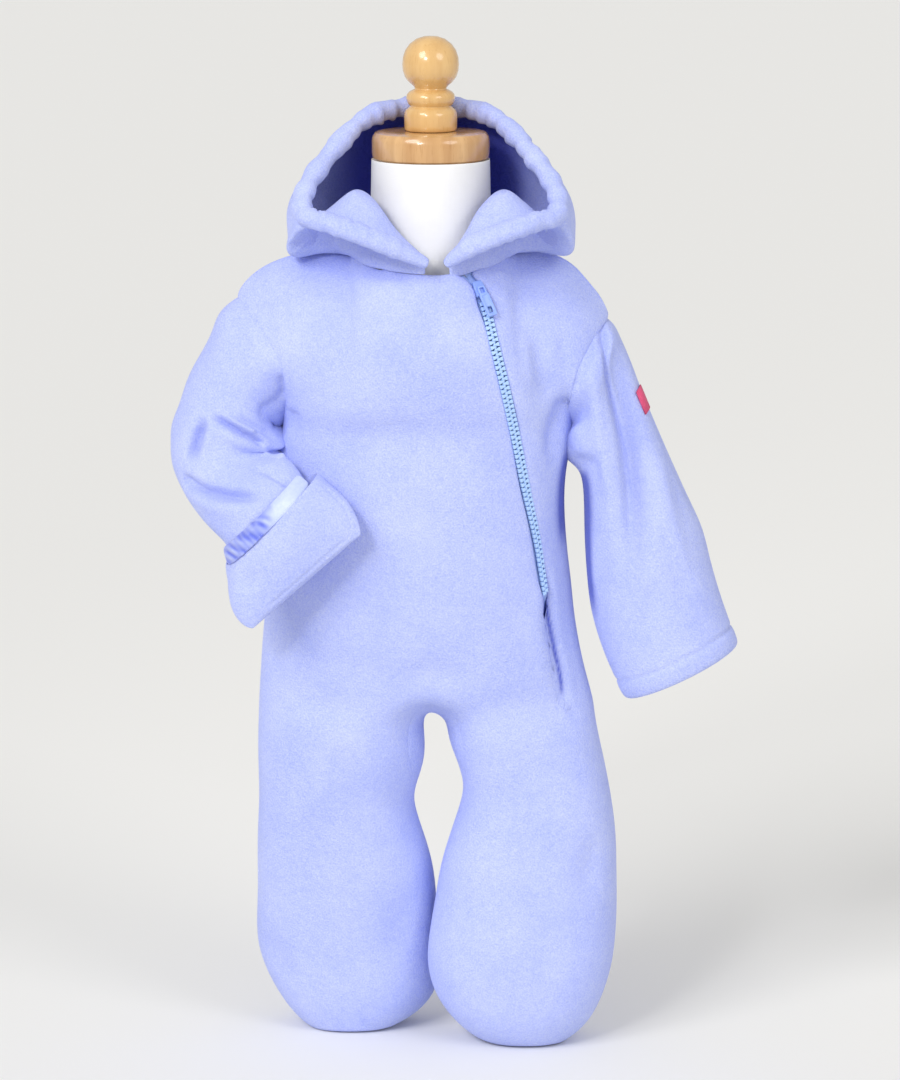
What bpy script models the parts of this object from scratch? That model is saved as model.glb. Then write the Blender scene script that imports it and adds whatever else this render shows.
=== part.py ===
# A baby's hooded fleece bunting suit on a limbless dress form.
# +Z is up, the front faces -Y, and the wearer's left hand is at +X.
# Sizes are in millimetres until a mesh is made, then in metres.
import math
from collections import namedtuple

import bpy
from mathutils import Vector

MM = 0.001

# ---- driving sizes, in mm ----
# The middle of the whole underside, in the frame of the tables below.
ORIGIN = Vector((15.4, -11.7, 7.5))
FLEECE = 2.0            # thickness of one layer of fleece
SEAM_GAP = 0.3          # between two pieces that are sewn together
RIBBON = 1.0            # thickness of the satin ribbon
CROTCH_HEIGHT = 230.0   # front end of the crotch seam
ARMPIT_HEIGHT = 400.0
NECK_WIDTH = 100.0      # across the neck seam, side to side
NECK_FRONT = 44.0       # depth of the neck seam before the body's axis
NECK_BACK = 38.0
NECK_FRONT_HEIGHT = 497.0
NECK_SIDE_HEIGHT = 508.0
NECK_BACK_HEIGHT = 514.0
ZIP_TOP = 495.5         # height of the tape's upper end
ZIP_STOP = 488.5        # height of the slider, at the closed zip's top
ZIP_OPEN_END = 296.5    # height at which the slash closes over the teeth
ZIP_SLASH_END = 246.0   # height at which the slash itself ends
ZIP_SLOT = 7.0          # width of the slash where the teeth show
ZIP_CHAIN = 5.8         # width across the closed teeth
ZIP_CHAIN_DEPTH = 2.6
ZIP_TAPE = 10.0         # from the middle of the chain to a tape's edge
TAPE_DEPTH = 1.0
CASING_WIDTH = 15.0     # the hood's gathered edge
CASING_DEPTH = 12.5
PUCKERS = 30
PUCKER_HEIGHT = 1.2
HEM_EXTRA = 1.6         # the left sleeve's hem is turned in and doubled

# ---- how finely each piece is divided ----
FRONT_CELLS = 24        # across the front panel, side seam to side seam
BACK_CELLS = 16
SHOULDER_CELLS = 5      # along each shoulder seam
SADDLE_CELLS = 4        # through the crotch, front to back
ARMHOLE_CELLS = 9       # up one side of an armhole
TORSO_CELLS = 10        # from the crotch up to the armpits
ZIP_COLUMN = 16         # the front panel's column that runs along the zip
CROTCH_COLUMN = FRONT_CELLS // 2
LEG_CELLS = FRONT_CELLS // 2

TorsoRow = namedtuple("TorsoRow", "height right left front back")
TORSO = [
    TorsoRow(216, -109.0, 105.5, 42, 44),
    TorsoRow(240, -107.5, 98.5, 47, 49),
    TorsoRow(261, -106.0, 93.0, 51, 51),
    TorsoRow(280, -104.0, 89.5, 54, 51),
    TorsoRow(300, -101.5, 87.5, 56, 50),
    TorsoRow(320, -99.0, 85.0, 57, 49),
    TorsoRow(340, -97.0, 83.5, 57, 48),
    TorsoRow(360, -95.5, 83.0, 57, 48),
    TorsoRow(372, -94.5, 84.5, 57, 48),
    TorsoRow(385, -93.5, 86.0, 56, 49),
    TorsoRow(400, -92.0, 86.0, 56, 50),
]

# The zip lies aslant, from the neck to the wearer's left hip.
ZipRow = namedtuple("ZipRow", "height across")
ZIP_LINE = [
    ZipRow(216, 84.0),
    ZipRow(246, 80.0),
    ZipRow(262, 76.5),
    ZipRow(280, 73.0),
    ZipRow(308, 69.3),
    ZipRow(332, 65.8),
    ZipRow(362, 59.6),
    ZipRow(385, 55.0),
    ZipRow(407, 50.4),
    ZipRow(437, 43.8),
    ZipRow(459, 38.4),
    ZipRow(480, 33.2),
    ZipRow(490, 28.5),
    ZipRow(498, 19.0),
]

# Each armhole from the armpit up to the shoulder point, front side.
HolePoint = namedtuple("HolePoint", "across forward height")
RIGHT_HOLE = [
    HolePoint(-92.0, 0, 400),
    HolePoint(-91.6, 8.5, 404),
    HolePoint(-90.5, 18, 409.5),
    HolePoint(-89.2, 27, 417.5),
    HolePoint(-89.0, 33, 427),
    HolePoint(-91.0, 35.5, 437.5),
    HolePoint(-95.5, 33.5, 448),
    HolePoint(-102.0, 27.5, 458),
    HolePoint(-109.0, 19.5, 467),
    HolePoint(-115.5, 10, 474.5),
    HolePoint(-120.5, 0, 479),
]
LEFT_HOLE = [
    HolePoint(86.0, 0, 400),
    HolePoint(86.2, 8.5, 404.0),
    HolePoint(86.0, 18, 408.5),
    HolePoint(86.0, 27, 415.5),
    HolePoint(86.8, 33, 424),
    HolePoint(88.5, 35.5, 433),
    HolePoint(92.0, 33.5, 441.5),
    HolePoint(96.8, 27.5, 449.5),
    HolePoint(102.0, 19, 457.5),
    HolePoint(107.5, 9, 464),
    HolePoint(112.0, 0, 468.5),
]

# Each shoulder seam from the shoulder point to the neck.
ShoulderPoint = namedtuple("ShoulderPoint", "across height")
RIGHT_SHOULDER = [
    ShoulderPoint(-120.5, 479),
    ShoulderPoint(-112.5, 490.5),
    ShoulderPoint(-98.0, 500),
    ShoulderPoint(-80.0, 505.5),
    ShoulderPoint(-64.0, 507.5),
    ShoulderPoint(-50.0, 508),
]
LEFT_SHOULDER = [
    ShoulderPoint(112.0, 468.5),
    ShoulderPoint(106.0, 481.5),
    ShoulderPoint(95.0, 494),
    ShoulderPoint(80.0, 503.5),
    ShoulderPoint(64.5, 507.2),
    ShoulderPoint(50.0, 508),
]

# Each leg from the crotch down to the sole: its two edges in the front
# view, the middle and half depth from the side, how far the inseam is
# turned forward from the innermost point, in degrees, and how much of the
# torso's last ring the leg still follows.
LegRow = namedtuple(
    "LegRow", "height outer inner middle half_depth inseam follow")
RIGHT_LEG = [
    LegRow(210.0, -109.5, -4.5, 1.0, 44, 32, 0.80),
    LegRow(198.0, -110.0, -4.0, 2.0, 43, 38, 0.55),
    LegRow(184.0, -109.5, -4.5, 3.0, 42, 33, 0.35),
    LegRow(170.0, -109.0, -8.0, 5.0, 41, 16, 0.20),
    LegRow(156.0, -109.0, -11.0, 6.0, 40, 0, 0.08),
    LegRow(138.0, -110.0, -6.0, 8.0, 39, 0, 0),
    LegRow(118.0, -110.5, 0.0, 10.0, 38, 0, 0),
    LegRow(97.0, -110.5, 3.0, 13.0, 38, 0, 0),
    LegRow(77.0, -111.5, 3.5, 16.0, 38, 0, 0),
    LegRow(59.0, -110.5, 4.5, 18.0, 38, 0, 0),
    LegRow(43.5, -105.5, 4.5, 18.0, 37, 0, 0),
    LegRow(30.5, -99.0, 3.0, 18.0, 35, 0, 0),
    LegRow(19.5, -91.5, -5.0, 17.0, 31, 0, 0),
    LegRow(11.5, -84.0, -16.0, 16.0, 26, 0, 0),
    LegRow(7.5, -78.0, -26.0, 15.0, 22, 0, 0),
]
LEFT_LEG = [
    LegRow(210.0, 107.5, 9.0, -1.0, 44, 32, 0.80),
    LegRow(198.0, 110.5, 11.0, -2.0, 43, 35, 0.55),
    LegRow(184.0, 113.0, 16.5, -3.0, 42, 26, 0.35),
    LegRow(170.0, 114.5, 20.5, -5.0, 41, 5, 0.20),
    LegRow(156.0, 115.5, 18.0, -6.0, 40, 0, 0.08),
    LegRow(138.0, 116.5, 12.0, -8.0, 39, 0, 0),
    LegRow(118.0, 117.0, 6.0, -10.0, 39, 0, 0),
    LegRow(97.0, 117.3, 2.5, -13.0, 40, 0, 0),
    LegRow(77.0, 116.5, -1.0, -16.0, 40, 0, 0),
    LegRow(59.0, 114.5, -2.5, -18.0, 40, 0, 0),
    LegRow(43.5, 110.5, 0.5, -18.0, 39, 0, 0),
    LegRow(30.5, 105.5, 7.0, -18.0, 37, 0, 0),
    LegRow(19.5, 99.0, 16.0, -17.0, 33, 0, 0),
    LegRow(11.5, 91.0, 25.0, -16.0, 28, 0, 0),
    LegRow(7.5, 85.5, 33.0, -15.0, 23, 0, 0),
]

# The crotch, from the front panel's seam back to the seat.
SaddlePoint = namedtuple("SaddlePoint", "back height")
SADDLE = [
    SaddlePoint(-42.0, 230.0),
    SaddlePoint(-22.0, 220.0),
    SaddlePoint(0.0, 215.5),
    SaddlePoint(24.0, 217.0),
    SaddlePoint(44.0, 227.0),
]

# Each sleeve as rings, given by their two edges in the front view, with
# the middle and the half depth from the side.
SleeveRing = namedtuple(
    "SleeveRing", "outer_x outer_z inner_x inner_z middle half_depth")
RIGHT_SLEEVE = [
    SleeveRing(-128.5, 468.2, -96.0, 400.8, -1, 35),
    SleeveRing(-134.5, 456.0, -95.4, 397.5, -3, 34.5),
    SleeveRing(-142.5, 440.6, -94.9, 394.6, -5, 34),
    SleeveRing(-151.0, 422.3, -94.4, 392.0, -8, 33),
    SleeveRing(-157.8, 402.9, -95.2, 389.7, -12, 32),
    SleeveRing(-161.4, 383.6, -96.0, 388.0, -17, 31),
    SleeveRing(-158.7, 369.2, -95.6, 386.0, -25, 29),
    SleeveRing(-150.3, 356.3, -91.8, 384.2, -35, 27),
    SleeveRing(-139.0, 344.8, -85.0, 381.0, -46, 25),
    SleeveRing(-127.6, 336.5, -79.4, 376.6, -56, 21.5),
    SleeveRing(-122.2, 329.5, -75.0, 372.0, -63, 17.5),
    SleeveRing(-117.5, 323.0, -69.6, 366.0, -67, 13.5),
]
LEFT_SLEEVE = [
    SleeveRing(115.0, 460.7, 91.2, 401.0, -1, 35),
    SleeveRing(119.0, 450.1, 89.4, 393.8, -1, 34.5),
    SleeveRing(125.2, 435.2, 88.4, 386.0, -2, 34),
    SleeveRing(132.2, 418.4, 91.6, 377.0, -3, 34),
    SleeveRing(138.8, 402.9, 94.0, 365.5, -4, 34),
    SleeveRing(146.6, 384.8, 95.2, 351.3, -5, 34),
    SleeveRing(154.2, 367.9, 95.5, 335.6, -6, 34),
    SleeveRing(162.3, 349.8, 96.2, 318.7, -7, 34),
    SleeveRing(169.6, 332.9, 97.6, 301.1, -8, 34),
    SleeveRing(173.8, 315.9, 99.8, 283.5, -9, 34),
    SleeveRing(179.0, 297.7, 104.6, 265.8, -10, 34),
    SleeveRing(184.8, 280.7, 110.2, 250.7, -11, 34),
    SleeveRing(188.9, 270.1, 115.6, 239.0, -12, 34),
    SleeveRing(191.6, 262.4, 120.6, 228.2, -12, 33),
]

# The folded mitten at the end of the right sleeve, from its mouth to the
# closed end.
MITTEN = [
    SleeveRing(-128.0, 325.0, -71.8, 382.5, -60.4, 24.7),
    SleeveRing(-126.2, 315.0, -64.0, 375.1, -65.5, 21.0),
    SleeveRing(-124.4, 304.8, -54.5, 367.2, -69.5, 17.0),
    SleeveRing(-121.0, 294.8, -47.8, 359.2, -73.0, 13.0),
    SleeveRing(-116.0, 287.5, -43.8, 351.0, -75.5, 8.5),
    SleeveRing(-109.5, 284.5, -42.2, 343.9, -77.0, 3.6),
]
# The satin ribbon that binds the mitten's mouth in front.
RIBBON_BAND = [
    SleeveRing(-130.2, 334.5, -78.6, 386.4, -57.2, 26.0),
    SleeveRing(-128.6, 325.5, -72.0, 382.85, -60.9, 25.2),
]

# The blank tab on the left sleeve: which rings it spans, and which places
# round them.
TAB_RINGS = (2.6, 3.05, 3.5)
TAB_PLACES = (7.4, 7.95, 8.5)
TAB_DEPTH = 1.0

# Soft folds pressed into a sleeve: the ring and the share of the way round
# (0 underarm, 0.25 front, 0.5 top), how far each reaches, and its depth.
Fold = namedtuple("Fold", "ring around ring_reach around_reach depth")
RIGHT_SLEEVE_FOLDS = [
    Fold(5.3, 0.10, 0.9, 0.16, 5.5),
    Fold(6.6, 0.14, 0.7, 0.09, 2.6),
    Fold(3.6, 0.12, 1.3, 0.14, -2.5),
    Fold(6.3, 0.40, 0.8, 0.12, 2.6),
    Fold(4.9, 0.88, 1.1, 0.12, 4.0),
]
LEFT_SLEEVE_FOLDS = [
    Fold(3.0, 0.22, 2.2, 0.07, 2.2),
    Fold(7.0, 0.24, 2.6, 0.06, 1.8),
    Fold(5.5, 0.74, 2.4, 0.08, 2.2),
]

# Half of the hood, from the front corner round to the middle of the back.
# Each column is a line of five places: the neck seam, three on the cloth
# and the middle of the gathered edge. Across is measured from the axis.
HoodColumn = namedtuple("HoodColumn", "neck low swell high edge")
HOOD = [
    HoodColumn((4, -43.8, 497.4), (4, -45, 501), (4, -46, 505),
               (4, -49, 507), (3, -54, 505)),
    HoodColumn((19, -41.0, 498.6), (20, -41.5, 508), (21.5, -41, 520),
               (21, -47, 523), (19.5, -57, 514)),
    HoodColumn((34, -33.5, 501), (34.5, -34, 514), (33, -33.5, 536),
               (33.5, -43, 538), (34.5, -60, 521)),
    HoodColumn((44, -23.0, 504), (45, -24, 518), (45, -23, 543),
               (46, -36, 546), (48, -60, 526)),
    HoodColumn((49, -11.0, 506.6), (56, -15, 511), (59, -19, 524),
               (60, -31, 536), (62, -56, 530)),
    HoodColumn((50, 0.5, 508.5), (66, -6, 509.5), (81, -18, 508),
               (86, -32, 517), (77, -46, 534)),
    HoodColumn((48, 11, 510.2), (67, 8, 511), (86, -2, 512),
               (89, -16, 527), (78, -33, 546)),
    HoodColumn((40, 21.5, 511.8), (61, 24, 516), (81, 18, 528),
               (83, 4, 547), (66, -14, 564)),
    HoodColumn((23, 32, 513.3), (36, 44, 524), (55, 46, 543),
               (57, 36, 571), (39, 13, 589)),
    HoodColumn((0, 38, 514), (0, 54, 526), (0, 63, 548),
               (0, 56, 580), (0, 30, 596)),
]
HOOD_CELLS = 18
HOOD_LEFT_SHIFT = 8.0   # the left half starts beyond the zip's upper end
HOOD_ROWS = 8
CASING_CELLS = 45       # along one half of the gathered edge

# The dress form, from its closed underside up to the top of the neck.
FormRow = namedtuple("FormRow", "height right left front back roundness")
FORM = [
    FormRow(240, -75, 68, 35, 35, 0.9),
    FormRow(242, -83, 74, 38, 38, 0.9),
    FormRow(248, -90, 80, 42, 41, 0.9),
    FormRow(262, -95, 83, 45, 43, 0.88),
    FormRow(300, -96, 82, 50, 44, 0.86),
    FormRow(350, -90, 77, 51, 42, 0.86),
    FormRow(400, -86, 79, 50, 44, 0.88),
    FormRow(430, -90, 85, 47, 42, 0.98),
    FormRow(452, -95, 88, 44, 39, 1.12),
    FormRow(470, -96, 84, 42, 36, 1.30),
    FormRow(483.2, -91, 78, 39, 32, 1.55),
    FormRow(491.9, -78, 70, 37, 29, 1.80),
    FormRow(498.0, -62, 59, 36, 28, 1.75),
    FormRow(503.8, -47, 47, 35.5, 30, 1.35),
    FormRow(510, -42, 42, 36, 32, 1.0),
    FormRow(520, -38, 38, 36, 34, 1.0),
    FormRow(540, -37, 37, 36, 35, 1.0),
    FormRow(562.7, -36.5, 36.5, 36, 35, 1.0),
]
FORM_SEGMENTS = 28

# Turned wood: radius and height, from the underside up.
TurnedRow = namedtuple("TurnedRow", "radius height")
NECK_CAP = [
    TurnedRow(0.0, 563.0), TurnedRow(33.0, 563.0), TurnedRow(35.5, 564.2),
    TurnedRow(36.3, 567.0), TurnedRow(36.3, 576.0), TurnedRow(34.8, 579.6),
    TurnedRow(31.0, 581.0), TurnedRow(0.0, 581.0),
]
FINIAL = [
    TurnedRow(0.0, 581.3), TurnedRow(15.6, 581.3), TurnedRow(16.2, 582.6),
    TurnedRow(16.4, 590.0), TurnedRow(15.6, 593.4), TurnedRow(13.2, 595.6),
    TurnedRow(12.8, 596.6), TurnedRow(14.3, 598.4), TurnedRow(14.9, 601.0),
    TurnedRow(14.3, 603.6), TurnedRow(12.2, 605.6), TurnedRow(9.8, 607.0),
    TurnedRow(10.6, 608.6), TurnedRow(14.4, 611.6), TurnedRow(16.9, 616.6),
    TurnedRow(17.5, 622.0), TurnedRow(16.6, 627.4), TurnedRow(13.6, 633.0),
    TurnedRow(8.6, 637.2), TurnedRow(0.0, 639.2),
]
TURNED_SEGMENTS = 24

# The rods that carry the form down through the legs to the soles.
RodPlace = namedtuple("RodPlace", "name across back")
RODS = [
    RodPlace("stand_rod_right", -53.0, 12.0),
    RodPlace("stand_rod_left", 55.0, -12.0),
]
ROD_RADIUS = 5.0
ROD_FOOT_RADIUS = 17.0
ROD_FOOT_HEIGHT = 4.0


# ---- colours ----
def makeMaterial(name, colour, roughness, metallic=0.0):
    material = bpy.data.materials.new(name)
    material.use_nodes = True
    shader = material.node_tree.nodes["Principled BSDF"]
    shader.inputs["Base Color"].default_value = (*colour, 1.0)
    shader.inputs["Roughness"].default_value = roughness
    shader.inputs["Metallic"].default_value = metallic
    return material


# ---- small sums ----
def curveThrough(rows, share):
    """The point a share of the way along a smooth curve through the rows."""
    place = min(max(share, 0.0), 1.0) * (len(rows) - 1)
    step = min(int(place), len(rows) - 2)
    t = place - step
    before = rows[max(step - 1, 0)]
    first, second = rows[step], rows[step + 1]
    after = rows[min(step + 2, len(rows) - 1)]
    result = []
    for p, a, b, q in zip(before, first, second, after):
        result.append(0.5 * (2 * a + (b - p) * t
                             + (2 * p - 5 * a + 4 * b - q) * t * t
                             + (3 * a - p - 3 * b + q) * t * t * t))
    return result


def rowAt(rows, height):
    """A table's row at any height, read smoothly between its own rows."""
    rising = rows[0].height < rows[-1].height
    ordered = rows if rising else rows[::-1]
    height = min(max(height, ordered[0].height), ordered[-1].height)
    step = 0
    while step < len(ordered) - 2 and ordered[step + 1].height < height:
        step += 1
    low, high = ordered[step], ordered[step + 1]
    t = (height - low.height) / (high.height - low.height)
    values = curveThrough(ordered, (step + t) / (len(ordered) - 1))
    values[0] = height
    return type(rows[0])(*values)


def spread(points, shares):
    """Points at the given shares of a line's length."""
    lengths = [0.0]
    for a, b in zip(points, points[1:]):
        lengths.append(lengths[-1] + (b - a).length)
    result = []
    step = 0
    for share in shares:
        target = share * lengths[-1]
        while step < len(points) - 2 and lengths[step + 1] < target:
            step += 1
        span = lengths[step + 1] - lengths[step]
        t = (target - lengths[step]) / span
        result.append(points[step].lerp(points[step + 1], min(max(t, 0), 1)))
    return result


def smooth(t):
    t = min(max(t, 0.0), 1.0)
    return t * t * (3 - 2 * t)


def even(count):
    return [i / count for i in range(count + 1)]


# ---- walls of cloth ----
class Skin:
    """The outer face of sewn cloth: points, and faces named by panel."""

    def __init__(self):
        self.points = []
        self.faces = []
        self.known = {}

    def add(self, key, point):
        if key not in self.known:
            self.known[key] = len(self.points)
            self.points.append(Vector(point))
        return self.known[key]

    def face(self, panel, corners):
        loop = []
        for corner in corners:
            if corner not in loop:
                loop.append(corner)
        if len(loop) > 2:
            self.faces.append((panel, tuple(loop)))

    def normals(self):
        sums = [Vector() for _ in self.points]
        for _, loop in self.faces:
            normal = faceNormal([self.points[i] for i in loop])
            for i in loop:
                sums[i] += normal
        return [s.normalized() for s in sums]


def faceNormal(corners):
    """A face's normal, as long as its area."""
    normal = Vector()
    for a, b in zip(corners, corners[1:] + corners[:1]):
        normal += a.cross(b)
    return normal / 2


def makeObject(name, points, faces, material):
    mesh = bpy.data.meshes.new(name)
    mesh.from_pydata([(p - ORIGIN) * MM for p in points], [], faces)
    mesh.materials.append(material)
    mesh.shade_smooth()
    mesh.set_sharp_from_angle(angle=math.radians(50))
    piece = bpy.data.objects.new(name, mesh)
    bpy.context.scene.collection.objects.link(piece)
    return piece


def makeWall(name, points, faces, normals, thickness, material, lift=0.0,
             thicker={}):
    """One panel as a closed wall, drawn back from its seams. Thicker gives
    what some of its points add to the thickness."""
    used = sorted({i for loop in faces for i in loop})
    owners = {}
    for loop in faces:
        for a, b in zip(loop, loop[1:] + loop[:1]):
            owners[(a, b)] = loop
    rim = [edge for edge in owners if (edge[1], edge[0]) not in owners]
    pull = {}
    for a, b in rim:
        along = (points[b] - points[a]).normalized()
        inward = (normals[a] + normals[b]).cross(along).normalized()
        for i in (a, b):
            pull.setdefault(i, []).append(inward)
    outer, inner = [], []
    for i in used:
        point = points[i].copy()
        if i in pull:
            first, last = pull[i][0], pull[i][-1]
            share = 1 + first.dot(last)
            if share > 0.3:
                point += (first + last) / share * (SEAM_GAP / 2 + 0.02)
            else:
                point += first * (SEAM_GAP / 2 + 0.02)
        outer.append(point + normals[i] * lift)
        deep = thickness + thicker.get(i, 0.0)
        inner.append(point + normals[i] * (lift - deep))
    place = {i: n for n, i in enumerate(used)}
    count = len(used)
    solid = [tuple(place[i] for i in loop) for loop in faces]
    solid += [tuple(place[i] + count for i in reversed(loop)) for loop in faces]
    # two sewn pieces split the faces along their seam the same way
    for a, b in rim:
        top, bottom = place[a], place[b]
        if a < b:
            solid += [(bottom, top, bottom + count),
                      (top, top + count, bottom + count)]
        else:
            solid += [(bottom, top, top + count),
                      (bottom, top + count, bottom + count)]
    return makeObject(name, outer + inner, solid, material)


# ---- the suit's body ----
def zipAcross(height):
    return rowAt(ZIP_LINE, height).across


def sectionPoint(row, turn, roundness=0.86):
    """A place on the torso's outline; turn runs 0 to 1 by way of the front
    from the right side seam to the left, and on to 2 by way of the back."""
    angle = math.pi * turn
    middle = (row.right + row.left) / 2
    half = (row.left - row.right) / 2
    c, s = math.cos(angle), math.sin(angle)
    depth = row.front if turn <= 1 else row.back
    x = middle - half * math.copysign(abs(c) ** roundness, c)
    y = -depth * math.copysign(abs(s) ** roundness, s)
    return Vector((x, y, row.height))


def frontShares(line, height):
    """Where the front panel's columns cross a line of the torso."""
    total = sum((b - a).length for a, b in zip(line, line[1:]))
    run = 0.0
    zipShare = crotchShare = 0.5
    for a, b in zip(line, line[1:]):
        run += (b - a).length
        if b.x < zipAcross(height):
            zipShare = run / total
        if b.x < 0:
            crotchShare = run / total
    free = smooth((height - CROTCH_HEIGHT) / 70.0)
    anchor = zipShare * CROTCH_COLUMN / ZIP_COLUMN
    anchor = crotchShare + (anchor - crotchShare) * free
    shares = []
    for i in range(FRONT_CELLS + 1):
        if i <= CROTCH_COLUMN:
            shares.append(anchor * i / CROTCH_COLUMN)
        elif i <= ZIP_COLUMN:
            t = (i - CROTCH_COLUMN) / (ZIP_COLUMN - CROTCH_COLUMN)
            shares.append(anchor + (zipShare - anchor) * t)
        else:
            t = (i - ZIP_COLUMN) / (FRONT_CELLS - ZIP_COLUMN)
            shares.append(zipShare + (1 - zipShare) * t)
    return shares


def lowerTorso(level):
    """One ring of the torso, from the crotch (0) to the armpits (1)."""
    height = CROTCH_HEIGHT + (ARMPIT_HEIGHT - CROTCH_HEIGHT) * level
    row = rowAt(TORSO, height)
    fine = even(120)
    frontLine = [sectionPoint(row, t) for t in fine]
    backLine = [sectionPoint(row, 2 - t) for t in fine]
    front = spread(frontLine, frontShares(frontLine, height))
    back = spread(backLine, even(BACK_CELLS))
    sag = 1 - smooth(level * 3)
    for line in (front, back):
        for point in line:
            side = (abs(point.x) / 105.0) ** 2
            point.z -= 6.0 * sag * side
    if level == 0:
        front[CROTCH_COLUMN] = Vector((0, SADDLE[0].back, SADDLE[0].height))
        back[BACK_CELLS // 2] = Vector((0, SADDLE[-1].back, SADDLE[-1].height))
    return front, back


def neckPoint(turn):
    """The neck seam; turn is 0 at the right, 0.5 in front, 1 at the left
    and 1.5 behind."""
    angle = math.pi * turn
    c, s = math.cos(angle), math.sin(angle)
    depth = NECK_FRONT if s >= 0 else NECK_BACK
    end = NECK_FRONT_HEIGHT if s >= 0 else NECK_BACK_HEIGHT
    z = NECK_SIDE_HEIGHT + (end - NECK_SIDE_HEIGHT) * abs(s) ** 1.3
    return Vector((-NECK_WIDTH / 2 * c, -depth * s, z))


def topLine(cells, side):
    """The upper edge of a panel: shoulder, neck, shoulder."""
    line = []
    for i in range(SHOULDER_CELLS):
        x, z = curveThrough(RIGHT_SHOULDER, i / SHOULDER_CELLS)
        line.append(Vector((x, 0, z)))
    neckCells = cells - 2 * SHOULDER_CELLS
    for i in range(neckCells + 1):
        t = i / neckCells
        if side == "front":
            zipTurn = 0.5 + math.asin(2 * zipAcross(498) / NECK_WIDTH) / math.pi
            zipCell = ZIP_COLUMN - SHOULDER_CELLS
            if i <= zipCell:
                turn = zipTurn * i / zipCell
            else:
                turn = zipTurn + (1 - zipTurn) * (i - zipCell) / (neckCells - zipCell)
        else:
            turn = 2 - t
        line.append(neckPoint(turn))
    for i in range(SHOULDER_CELLS - 1, -1, -1):
        x, z = curveThrough(LEFT_SHOULDER, i / SHOULDER_CELLS)
        line.append(Vector((x, 0, z)))
    return line


def holePoint(table, share, side):
    x, forward, z = curveThrough(table, share)
    return Vector((x, -forward if side == "front" else forward, z))


def between(line, place):
    low = min(int(place), len(line) - 2)
    return line[low].lerp(line[low + 1], place - low)


def followZip(row):
    """Slides the columns along a row until the zip's column meets the zip."""
    meet = ZIP_COLUMN
    for n, (a, b) in enumerate(zip(row, row[1:])):
        before = a.x - zipAcross(a.z)
        after = b.x - zipAcross(b.z)
        if before < 0 <= after:
            meet = n - before / (after - before)
    placed = []
    for i in range(FRONT_CELLS + 1):
        if i <= ZIP_COLUMN:
            placed.append(between(row, meet * i / ZIP_COLUMN))
        else:
            t = (i - ZIP_COLUMN) / (FRONT_CELLS - ZIP_COLUMN)
            placed.append(between(row, meet + (FRONT_CELLS - meet) * t))
    return placed


def upperTorso(side, base, cells):
    """Rows from the armpits to the shoulders, over the chest or the back."""
    top = topLine(cells, side)
    rows = []
    facing = -1 if side == "front" else 1
    rightEnd, leftEnd = top[0], top[-1]
    for level in range(ARMHOLE_CELLS + 1):
        w = level / ARMHOLE_CELLS
        right = holePoint(RIGHT_HOLE, w, side)
        left = holePoint(LEFT_HOLE, w, side)
        row = []
        for i in range(cells + 1):
            u = i / cells
            straight = base[i].lerp(top[i], w)
            shiftRight = right - base[0].lerp(rightEnd, w)
            shiftLeft = left - base[-1].lerp(leftEnd, w)
            point = straight + shiftRight * (1 - u) ** 3 + shiftLeft * u ** 3
            fall = abs(base[i].y - top[i].y) / 50.0
            inside = math.sin(math.pi * min(max(u, 0), 1)) ** 0.7
            point.y += facing * 19.0 * fall * math.sin(math.pi * w) ** 0.65 * inside
            row.append(point)
        row[0], row[-1] = right, left
        if side == "front" and 0 < level < ARMHOLE_CELLS:
            row = followZip(row)
        rows.append(row)
    return rows


def legRing(row, first):
    """One ring of a leg: the front from the outer seam to the inseam, then
    on through the crotch and round the back to the outer seam."""
    middle = (row.outer + row.inner) / 2
    half = (row.inner - row.outer) / 2
    roundness = 0.88
    inseam = math.radians(row.inseam)

    def onOutline(angle):
        c, s = math.cos(angle), math.sin(angle)
        x = middle + half * math.copysign(abs(c) ** roundness, c)
        y = row.middle - row.half_depth * math.copysign(abs(s) ** roundness, s)
        return Vector((x, y, row.height))

    fine = even(60)
    frontLine = [onOutline(math.pi + (inseam - math.pi) * t) for t in fine]
    backLine = [onOutline(inseam - (inseam + math.pi) * t) for t in fine]
    ring = spread(frontLine, even(LEG_CELLS))
    ring += spread(backLine, even(LEG_CELLS))[1:-1]
    lowest = min(spot.height for spot in SADDLE)
    for n, above in enumerate(first):
        if n <= LEG_CELLS:
            inward = n / LEG_CELLS
        else:
            inward = min(1.0, (2 * LEG_CELLS - n) / (BACK_CELLS / 2))
        follow = row.follow * (1 - inward ** 2)
        ring[n].x += (above.x - ring[n].x) * follow
        ring[n].y += (above.y - ring[n].y) * follow
        ring[n].z += (above.z - lowest) * 0.75 * row.follow ** 2
    return ring


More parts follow.
